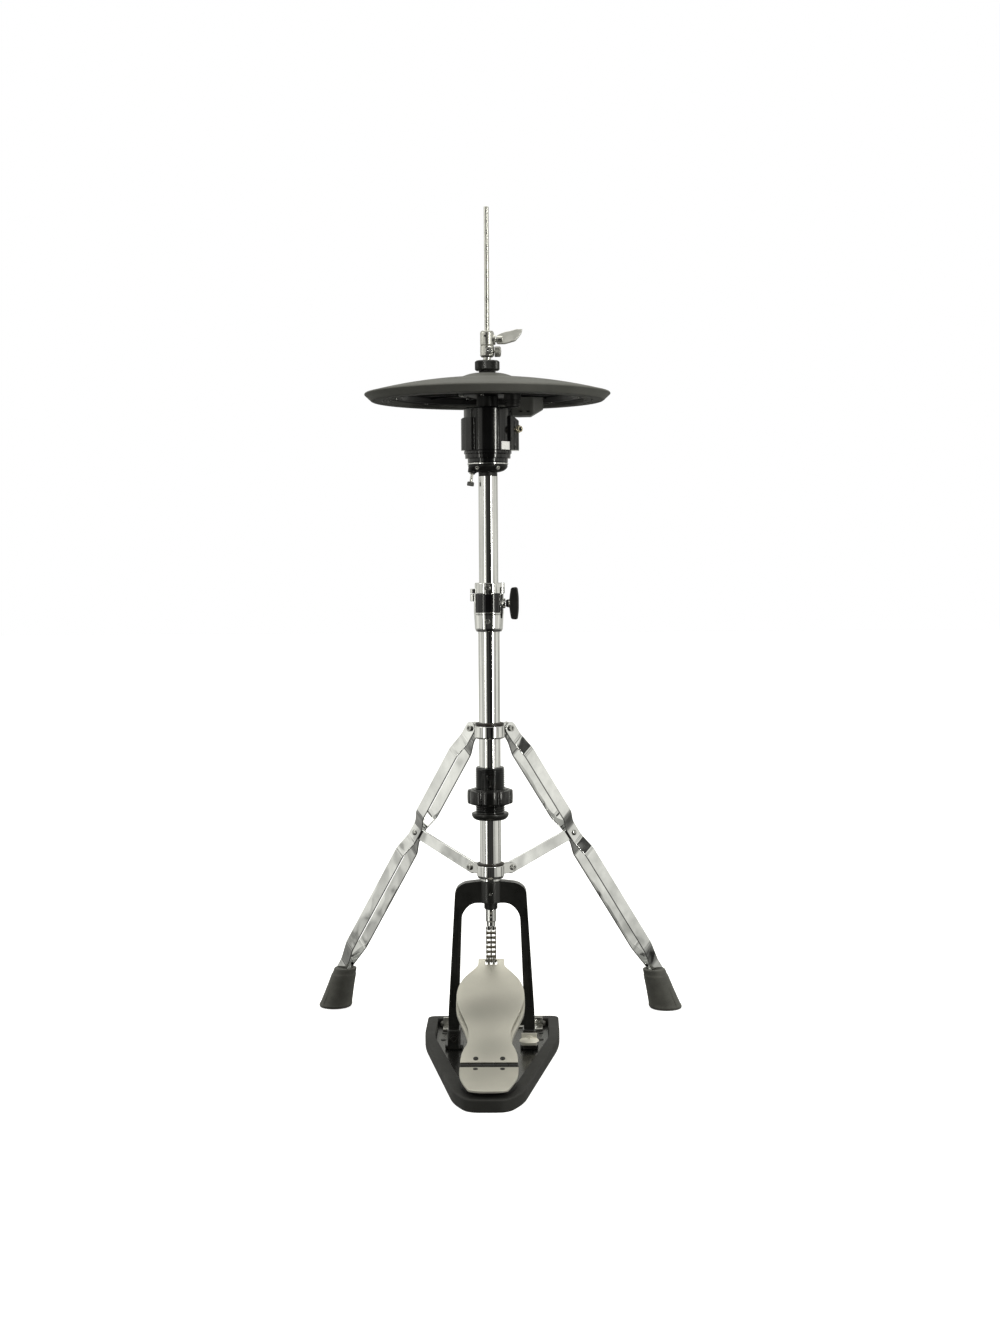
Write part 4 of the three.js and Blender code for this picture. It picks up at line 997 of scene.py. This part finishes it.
def build_leg(side):
    lay = along_leg(side)
    body = f"{side}_leg"
    strips = [moved(leg_strip(s), lay) for s in (-1, 1)]
    spacer = moved(block(LEG_LENGTH - 8, LEG_LENGTH, -4, 4, -8.6, 8.6), lay)
    piece(f"{side}_leg_strips", [*strips, spacer], body, "leg_chrome", [body], crease=45)
    rivets = []
    for s in (-1, 1):
        rivets.append(moved(dome_head((MIDDLE_PIVOT, s * 4.1, 0), (MIDDLE_PIVOT, s * 6.7, 0), 3.9), lay))
    piece(f"{side}_leg_rivets", rivets, body, "steel")
    hinge_screw(f"{side}_leg", lay, "upper_leg_collar", 2.5, 4.2, 5.8)

    # the foot: a cone leaning out, with a rolled sole, a shoulder and a mould line down each side
    height, spread, top_spread = 62.0, 344.0, 318.0
    lean = (top_spread - spread) / height
    cone = turned([(0, 0), (22.8, 0, 1.5), (24.4, 3.5, 1.5), (23.0, 8, 3), (19.9, 32, 8), (18.5, 46, 5),
        (18.0, 51.5, 1.6), (16.9, 54, 1.2), (16.3, height, 1.8), (0, height)], 0.6, 96, corner_steps=5)
    ridges = [prism([(-0.5, 1), (0.5, 1), (0.5, 50), (-0.5, 50)], 0, 1, along=Y) for _ in (0, 1)]
    for ridge, s in zip(ridges, (-1, 1)):
        for vert in ridge.verts:
            z = vert.co.z
            r = 24.3 - (z - 1) * 0.147
            vert.co.y = s * (r + (0.35 if vert.co.y > 0.5 else -1.5))
    skew = Matrix(((1, 0, lean, spread), (0, 1, 0, 0), (0, 0, 1, 0), (0, 0, 0, 1)))
    for shape in (cone, *ridges):
        moved(shape, leg_turn(side) @ skew)
    pocket = moved(block(452, LEG_LENGTH + 0.5, -6.2, 6.2, -LEG_HALF_WIDTH - 0.4, LEG_HALF_WIDTH + 0.4), lay)
    piece(f"{side}_foot_moulding", [cone], body, "foot_rubber", [f"{side}_foot"], cut=[pocket])
    piece(f"{side}_foot_mould_lines", ridges, body, "foot_rubber")

    hinge = pivot(f"{side}_brace_hinge")
    reach = math.hypot(hinge.x, hinge.y)
    length = 120.5
    ends = arc(8.4, 90, 271, 15)
    tips = arc(7.8, -90, 91, 15, x=length - 1)
    strap = prism([*ends, *tips], -1.5, 1.5, along=Y)
    lay = leg_turn(side) @ shift(reach, 0, hinge.z) @ spin(BRACE_ANGLE - 90, "Y")
    moved(strap, lay)
    hole = moved(bar((0, -5, 0), (0, 5, 0), 2.8), lay)
    piece(f"{side}_brace_strap",
        [strap], f"{side}_brace", "leg_chrome", [f"{side}_brace"], cut=[hole], edge=0.6)
    lay = leg_turn(side) @ shift(reach, 0, hinge.z)
    hinge_screw(f"{side}_brace", lay, "lower_leg_collar", 2.2, 3.9, 5.0)


def ears(offsets, thick, z0, z1, reach, nose):
    middle = (z0 + z1) / 2
    tip = arc(nose, -60, 61, 15, reach, middle)
    return [prism([(16.2, z0), (reach, z0), *tip, (reach, z1), (16.2, z1)],
        o - thick / 2, o + thick / 2, along=Y) for o in offsets]


def build_leg_collar(name, foot, head, lip, radius, bush, plates, edge):
    """A cast ring on its bush, with ears for both legs. foot, head and bush are outer points of the profiles:
    radii, and distances above the collar's low end or below its high end."""
    low, high = span(name, Z)
    bore = TUBE_R + 0.3
    ring = [(bore + 0.8, low), *[(r, low + up, *corner) for r, up, *corner in foot],
        (head[0], high - head[1], head[2]), (bore + 0.8, high - lip)]
    piece(f"{name}_cast", [turned(ring, radius, 128)], name, "chrome", [name])
    r, down, corner = bush
    piece(f"{name}_bush", [turned([(bore, low), (bore + 0.7, low), (bore + 0.7, high - down),
        (r, high - down), (r, high - 0.4, corner), (bore, high)], 0.3, 96)], name, "brown_bush")
    both = [moved(shape, leg_turn(side)) for side in ("left", "right") for shape in ears(*plates)]
    piece(f"{name}_ears", both, name, "chrome", edge=edge)


def build_leg_collars():
    build_leg_collar("upper_leg_collar",
        [(19, 0), (20, 1.6)], (20, 4.4, 1.2), 4, 0.7, (19.0, 3.7, 1.2), ([0], 6.4, 425, 441, 33, 8), 0.9)
    build_leg_collar("lower_leg_collar", [(16.6, 0), (17.2, 1.8), (18.1, 3.2, 1)],
        (18.1, 3.4, 1.0), 3, 0.6, (18.0, 2.8, 1.0), ([-3.4, 3.4], 2.6, 238.5, 252, 36.5, 6.8), 0.7)


# ---------------------------------------------------------------- sensor unit
SENSOR_R = 31.2


def sensor_shell():
    """What is cut out of a part that sits against the sensor's body."""
    return tube(0, SENSOR_R + 0.25, 780, 900, 0.1, 160)


def build_sensor():
    low, high = span("upper_tube", Z)
    r = span("upper_tube", X)[1]
    piece("upper_tube_drawn", [tube(r - 1.5, r, low, high, 0.3, 128)], "upper_tube", "chrome", ["upper_tube"])
    low, high = span("tube_bush", Z)
    piece("tube_top_bush",
        [turned([(5, low), (10.9, low), (10.9, 767.1), (12.4, 767.1), (12.4, high), (5, high)], 0.4, 96)],
        "upper_tube", "matt_black", ["tube_bush"])
    high = span("seat_cup", Z)[1]
    cup = turned([(5, 772), (15, 772, 1), (21.4, 773.8, 3), (25.4, 777.6, 3), (26.2, 780.9, 0.6),
        (25.2, 781.2, 0.3), (25.2, 781.6, 0.3), (26.8, 781.9, 0.4), (26.8, high, 0.4), (5, high)],
        0.4, 128, corner_steps=5)
    piece("seat_cup_spun", [cup], "upper_tube", "matt_black", ["seat_cup"], slot="chrome")
    piece("seat_cup_trim", [tube(24, 26.82, 781.9, high, 0.35, 128)], "upper_tube", "chrome")
    piece("seat_cup_screws", [socket_head(polar(25.6 * 0.93, a, 777.2), polar(25.6 * 1.03, a, 776.4), 2.7, 0.5)
        for a in (-122, -58, 62, 118)], "upper_tube", "nickel", slot="steel")
    lug = bar((-20.6, -4, 771.2), (-19.6, -4, 779), 5.8, 0.8, 48)
    piece("tilt_screw_lug",
        [lug], "upper_tube", "matt_black", cut=[bar((-23.4, -4, 752), (-19.4, -4, 779), 2.4)], slot="chrome")
    axis = Vector(JOINTS["tilt_screw_turn"]["axis"]).normalized()
    base = pivot("tilt_screw_turn")
    piece("tilt_screw_turned", [bar(base + axis * 2, base + axis * 22, 1.9, 0.3),
        bar(base + axis * 15.6, base + axis * 18, 3.9, 0.4, 6)],
        "tilt_screw", "nickel", ["tilt_screw"], slot="steel")
    piece("tilt_screw_knob", [turned_knob(base, axis)], "tilt_screw", "grey_plastic")

    low, high = span("sensor_base", Z)
    step = low + 5.4
    piece("sensor_base_moulding", [turned([(5, low), (26.0, low), (26.4, low + 1), (26.4, step, 0.3),
        (29.7, step + 0.3), (29.9, high), (5, high)], 0.5, 128)], "upper_tube", "gloss_black", ["sensor_base"])
    low, high = span("sensor_body", Z)
    body = turned([(5, low), (SENSOR_R - 0.4, low, 0.5), (SENSOR_R, low + 0.6, 0.3), (SENSOR_R, low + 3.6, 0.2),
        (SENSOR_R - 0.5, low + 3.9, 0.2), (SENSOR_R - 0.5, low + 4.5, 0.2), (SENSOR_R, low + 4.8, 0.2),
        (SENSOR_R, high - 1, 1), (SENSOR_R - 1, high, 0.8), (14.6, high), (14.6, 820), (5, 820)], 0.6, 160)
    flutes = [bar(polar(SENSOR_R * 1.03, a, low + 6), polar(SENSOR_R * 1.03, a, high + 4), 2.2)
        for a in (-128, -62)]
    piece("sensor_housing", [body], "upper_tube", "gloss_black", ["sensor_body"], cut=flutes)
    low, high = span("sensor_plunger", Z)
    piece("sensor_plunger_sleeve",
        [turned([(10.8, low), (14.2, low), (14.2, high, 0.8), (10.8, high)], 0.5, 96)],
        "sensor_plunger", "matt_black", ["sensor_plunger"], slot="black_plastic")

    pod = prism([(-18, 2), (-34.6, 2, 2), (-34.6, -13, 5),
        (-30, -20, 5), (-21, -29.6, 2), (-16.7, -28.6, 0.5), (-12, -18)], 800, 842, radius=0.5, steps=6)
    chamfer = prism([(-40, 837), (-30.5, 843), (-40, 852)], -40, 10, along=Y)
    piece("sensor_side_cover",
        [pod], "upper_tube", "gloss_black", ["sensor_cover"], cut=[sensor_shell(), chamfer], edge=0.9)
    slope = prism([(31.5, 846), (41, 838), (60, 838), (60, 860), (31.5, 860)], -40, 40, along=Y)
    jack_line = Vector((0.667, -0.745, 0))
    jack_at = Vector((38, -12, 827))
    housing = prism([(22, 12), (41, 12, 2.5), (41, -9, 2.5), (36, -15, 1.5), (28, -12, 1)],
        800, 845, radius=0.5)
    piece("jack_housing_moulding", [housing], "upper_tube", "gloss_black", ["jack_housing"],
        cut=[sensor_shell(), slope, bar(jack_at - jack_line * 9, jack_at + jack_line * 14, 4.7)], edge=0.8)
    start, end = jack_at - jack_line * 6, jack_at + jack_line * 7.4
    length = (end - start).length

    def hexed(reach, z, angle):
        if reach > 4.9 and z < length * 0.8:
            return hexagonal(reach, angle)
        return reach

    socket = turned([(2.6, 0), (4.2, 0), (4.2, length * 0.62), (5.4, length * 0.62),
        (5.4, length * 0.8), (4.2, length * 0.8), (4.2, length), (2.6, length)], 0.25, 60, hexed)
    piece("jack_bush", [moved(socket, facing(start, end))], "upper_tube", "jack", ["sensor_jack"])
    # painted shade: a near-black plug just inside the jack's mouth stands for the dark of its bore
    piece("jack_dark_bore",
        [bar(start, end - jack_line * 1.2, 2.55), bar(start, end - jack_line * 0.6, 0.8)], "upper_tube", "hole")
    label = [*arc(SENSOR_R + 0.16, -54, -18, 3), *arc(SENSOR_R - 0.3, -21, -55, -3)]
    piece("blank_label", [prism(label, 800.5, 811)], "upper_tube", "label")


def turned_knob(base, axis):
    knob = turned([(0, 0), (4.0, 0), (4.4, 0.8), (4.4, 4.6), (3.6, 5.6), (0, 5.6)],
        0.3, 64, lambda r, z, angle: r if r < 3.9 else r + 0.16 * math.cos(20 * angle))
    return moved(knob, facing(base, base + axis))


# ---------------------------------------------------------------- pad
PAD_R = span("pad_cover", X)[1]
PAD_LOW, PAD_TOP = span("pad_cover", Z)
RIM_Z = 874.3
BOW_TOP = 895.3


def bow(r):
    return BOW_TOP - (BOW_TOP - RIM_Z) * (r / PAD_R) ** 2


def build_pad():
    bell = [(7, PAD_TOP),
        (13, PAD_TOP, 4), (21, 900.2, 5), (27, 898.7, 5), (33, 896.4, 4), (38, bow(38) + 0.15, 3)]
    # the playing surface, with a shallow moulded ring, then a bead at the rim and the bevel under it
    surface_line = [(r, bow(r)) for r in (50, 66, 82, 98, 112)]
    rings = [(118.0, bow(118.0), 0.4),
        (118.5, bow(118.5) - 0.45, 0.3), (119.7, bow(119.7) - 0.45, 0.3), (120.2, bow(120.2), 0.4)]
    outer = [(r, bow(r)) for r in (132, 144, 151)]
    rim = [(154.6, bow(154.6), 0.4), (155.3, bow(155.3) - 0.8, 0.3),
        (156.6, bow(156.6) - 0.8, 0.3), (157.3, bow(157.3) + 0.1, 0.5), (PAD_R - 0.8, RIM_Z + 0.3, 0.8),
        (PAD_R, RIM_Z - 1.3, 0.9), (152.2, PAD_LOW + 0.6, 1.2), (151, PAD_LOW, 0.8)]
    under = [(138, PAD_LOW, 0.4), (137, PAD_LOW + 1.2, 0.3), (135.6, PAD_LOW + 1.2, 0.3),
        (134.8, PAD_LOW, 0.4), (130.6, PAD_LOW, 0.5), (129.6, PAD_LOW + 1.8, 0.3), (127.6, PAD_LOW + 1.8, 0.3),
        (126.5, PAD_LOW + 0.6, 0.3), (126.5, 874), (110, 880), (60, 886.4), (38, 887.4), (7, 890)]
    piece("pad_cover_moulding", [turned([*bell, *surface_line, *rings, *outer, *rim, *under], 2.0, 256)],
        "pad", "pad_rubber", ["pad_cover"])
    hub = span("pad_tray", Z)[0]
    floor = hub + 7.4
    tray = turned([(7, hub + 2.6), (37.6, hub + 2.6, 1),
        (38.2, floor, 1.2), (56, floor, 0.5), (56.5, floor - 1.2, 0.4), (58, floor - 1.2, 0.4),
        (58.5, floor, 0.5), (108.8, floor, 1.5), (111.5, hub + 0.4, 0.8), (113, hub, 0.5),
        (126.2, hub, 0.6), (126.2, 873.4), (110, 879.6), (60, 886), (38, 887), (7, 889.6)], 0.4, 192)
    piece("pad_tray_moulding", [tray], "pad", "matt_black", ["pad_tray"])
    ribs = []
    for k in range(12):
        rib = block(39, 109, -0.9, 0.9, floor - 2.6, floor + 0.8)
        ribs.append(moved(rib, spin(30 * k + 15, "Z")))
    piece("pad_tray_ribs", ribs, "pad", "matt_black", edge=0.4)
    screws = [socket_head(polar(34.7, a, hub + 2.8), polar(34.7, a, hub + 0.7), 2.3, 0.5)
        for a in range(80, 440, 60)]
    screws += [socket_head(polar(119.6, a, hub + 0.2), polar(119.6, a, hub - 1.1), 2.4, 0.5)
        for a in range(0, 360, 45)]
    piece("pad_tray_screws", screws, "pad", "steel")
    low, high = span("trigger_box", Z)
    box = prism([(30.5, 15), (60, 13.5), (73, 20), (73, 42), (40, 48), (30.5, 40)], low, high, radius=2.5)
    bevel = prism([(56, low - 0.5), (76, low + 11), (84, low - 6)], -10, 60, along=Y)
    vents = [moved(prism([(-3.2, -1.5), (3.2, -1.5), (3.2, 1.5), (-3.2, 1.5)], -4, 4, radius=1.4),
        shift(x, 14, low + 5.5) @ spin(90, "X")) for x in (42, 52)]
    piece("trigger_box_moulding",
        [box], "pad", "grey_plastic", ["trigger_box"], cut=[bevel, *vents], edge=1.0, slot="grey_plastic")
    x0, x1 = span("jack_boot", X)
    y0, y1 = span("jack_boot", Y)
    low, high = span("jack_boot", Z)
    boot = turned([(0, low),
        (8.2, low, 0.8), (9.4, low + 1.2), (9.4, low + 4, 0.3), (10.2, low + 4.4, 0.3), (10.2, low + 6.2, 0.3),
        (9.6, low + 6.6, 0.3), (9.6, low + 8.6, 0.3), (11, low + 9.2, 0.5), (11, high), (0, high)], 0.4, 64)
    moved(boot, shift((x0 + x1) / 2, (y0 + y1) / 2, 0))
    piece("jack_boot_moulding", [boot], "pad", "matt_black", ["jack_boot"])


# ---------------------------------------------------------------- clutch
def knurl(depth, count, least):
    """Changes radii over least into a knurl of so many teeth."""
    def shaped(r, z, angle):
        if r < least:
            return r
        return r - depth * abs(((angle * count / (2 * math.pi)) % 1) * 2 - 1)
    return shaped


WING_Z = 944
LOCK_Z = 928.6


def build_clutch():
    rod = 3.5
    low, high = span("clutch_upper_body", Z)
    upper = turned([(rod, low),
        (8.6, low, 0.5), (9.1, low + 1, 0.6), (9.1, high - 2.2, 1.4), (7.6, high, 0.6), (rod, high)], 0.5, 96)
    boss = moved(turned([(3.4, 6), (6.6, 6), (6.6, 11.0, 0.8), (3.4, 11.0)], 0.5, 64),
        facing((0, 0, WING_Z), (1, 0, WING_Z)))
    piece("clutch_upper_turned", [upper, boss], "pad", "nickel", ["clutch_upper_body"])
    piece("clutch_upper_pin", [bar((-2.4, -8.4, 948.4), (-2.6, -10.0, 948.4), 1.9, 0.3)], "pad", "steel")
    wing = prism([(13.2, 949.8), (17, 952), (23.5, 954.8), (32.7, 956.7), (38, 958.6, 2), (46.3, 958.7, 1.5),
        (45, 953.5), (41.6, 948.2), (37, 942.4, 2), (31, 940.5), (23.3, 938.2), (13.2, 938.2)],
        -2, 2, along=Y, radius=1.2, steps=5)
    axle = Vector((0, 0, WING_Z))
    moved(wing, Matrix.Translation(axle) @ spin(-20, "X") @ Matrix.Translation(-axle))
    piece("clutch_wing_blade", [wing], "clutch_wing_bolt", "cast_nickel", ["clutch_wing_bolt"], edge=1.3)
    piece("clutch_wing_stem",
        [bar((7.4, 0, WING_Z), (15, 0, WING_Z), 3.0), bar((12.2, 0, WING_Z), (21, 0, WING_Z), 5.2, 1.6, 48)],
        "clutch_wing_bolt", "nickel", slot="blasted_alloy")

    low, high = span("clutch_lower_body", Z)
    lower = turned([(rod, low),
        (5.2, low), (5.2, 921.4, 0.3), (7.4, 921.4), (9.1, 923.2, 0.8), (9.1, high, 0.7), (rod, high)], 0.4, 96)
    front = bar((2.6, -5, 929), (2.6, -10.6, 929), 5.0, 0.8, 64)
    piece("clutch_lower_turned", [lower, front], "pad", "nickel", ["clutch_lower_body"])
    piece("clutch_lower_screw",
        [socket_head((2.6, -10.0, 929), (2.6, -11.9, 929), 3.5, 0.55)], "pad", "chrome", slot="steel")
    knob = turned([(0, 4.6), (2, 4.6), (2, 9.6), (6.2, 9.6), (6.8, 10.4), (6.8, 16.8), (5.4, 18.0), (0, 18.6)],
        0.3, 120, knurl(0.45, 30, 6.1))
    piece("clutch_knurled_knob", [moved(knob, facing((0, 0, LOCK_Z), (1, 0, LOCK_Z)))],
        "clutch_lock_knob", "nickel", ["clutch_lock_knob"])
    low, high = span("pad_nut", Z)
    piece("pad_nut_knurled",
        [turned([(5.6, low), (14.6, low), (16.2, low + 1.6), (16.2, high - 1.6), (14.4, high), (5.6, high)],
        0.4, 240, knurl(0.5, 60, 15.5))], "pad_nut", "black_paint", ["pad_nut"])
    low, high = span("felt_washer", Z)
    piece("felt_washer_pressed", [tube(5.6, 11, low, high, 0.9, 96)], "pad", "felt", ["felt_washer"])
    low, high = span("clutch_bottom_nut", Z)
    nut = turned([(5.4, low), (8.6, low), (9.5, low + 0.8), (9.5, high - 0.8), (8.6, high), (5.4, high)],
        0.25, 48, lambda r, z, angle: r if r < 6 else min(r, hexagonal(r, angle) + r * 0.02))
    piece("clutch_hex_nut", [nut], "pad", "nickel", ["clutch_bottom_nut"])


def main():
    make_studio()
    make_looks()
    build_base()
    build_yoke()
    build_pedal()
    build_chain()
    build_rod()
    build_spring()
    build_column()
    for side in ("left", "right"):
        build_leg(side)
    build_leg_collars()
    build_sensor()
    build_pad()
    build_clutch()


main()
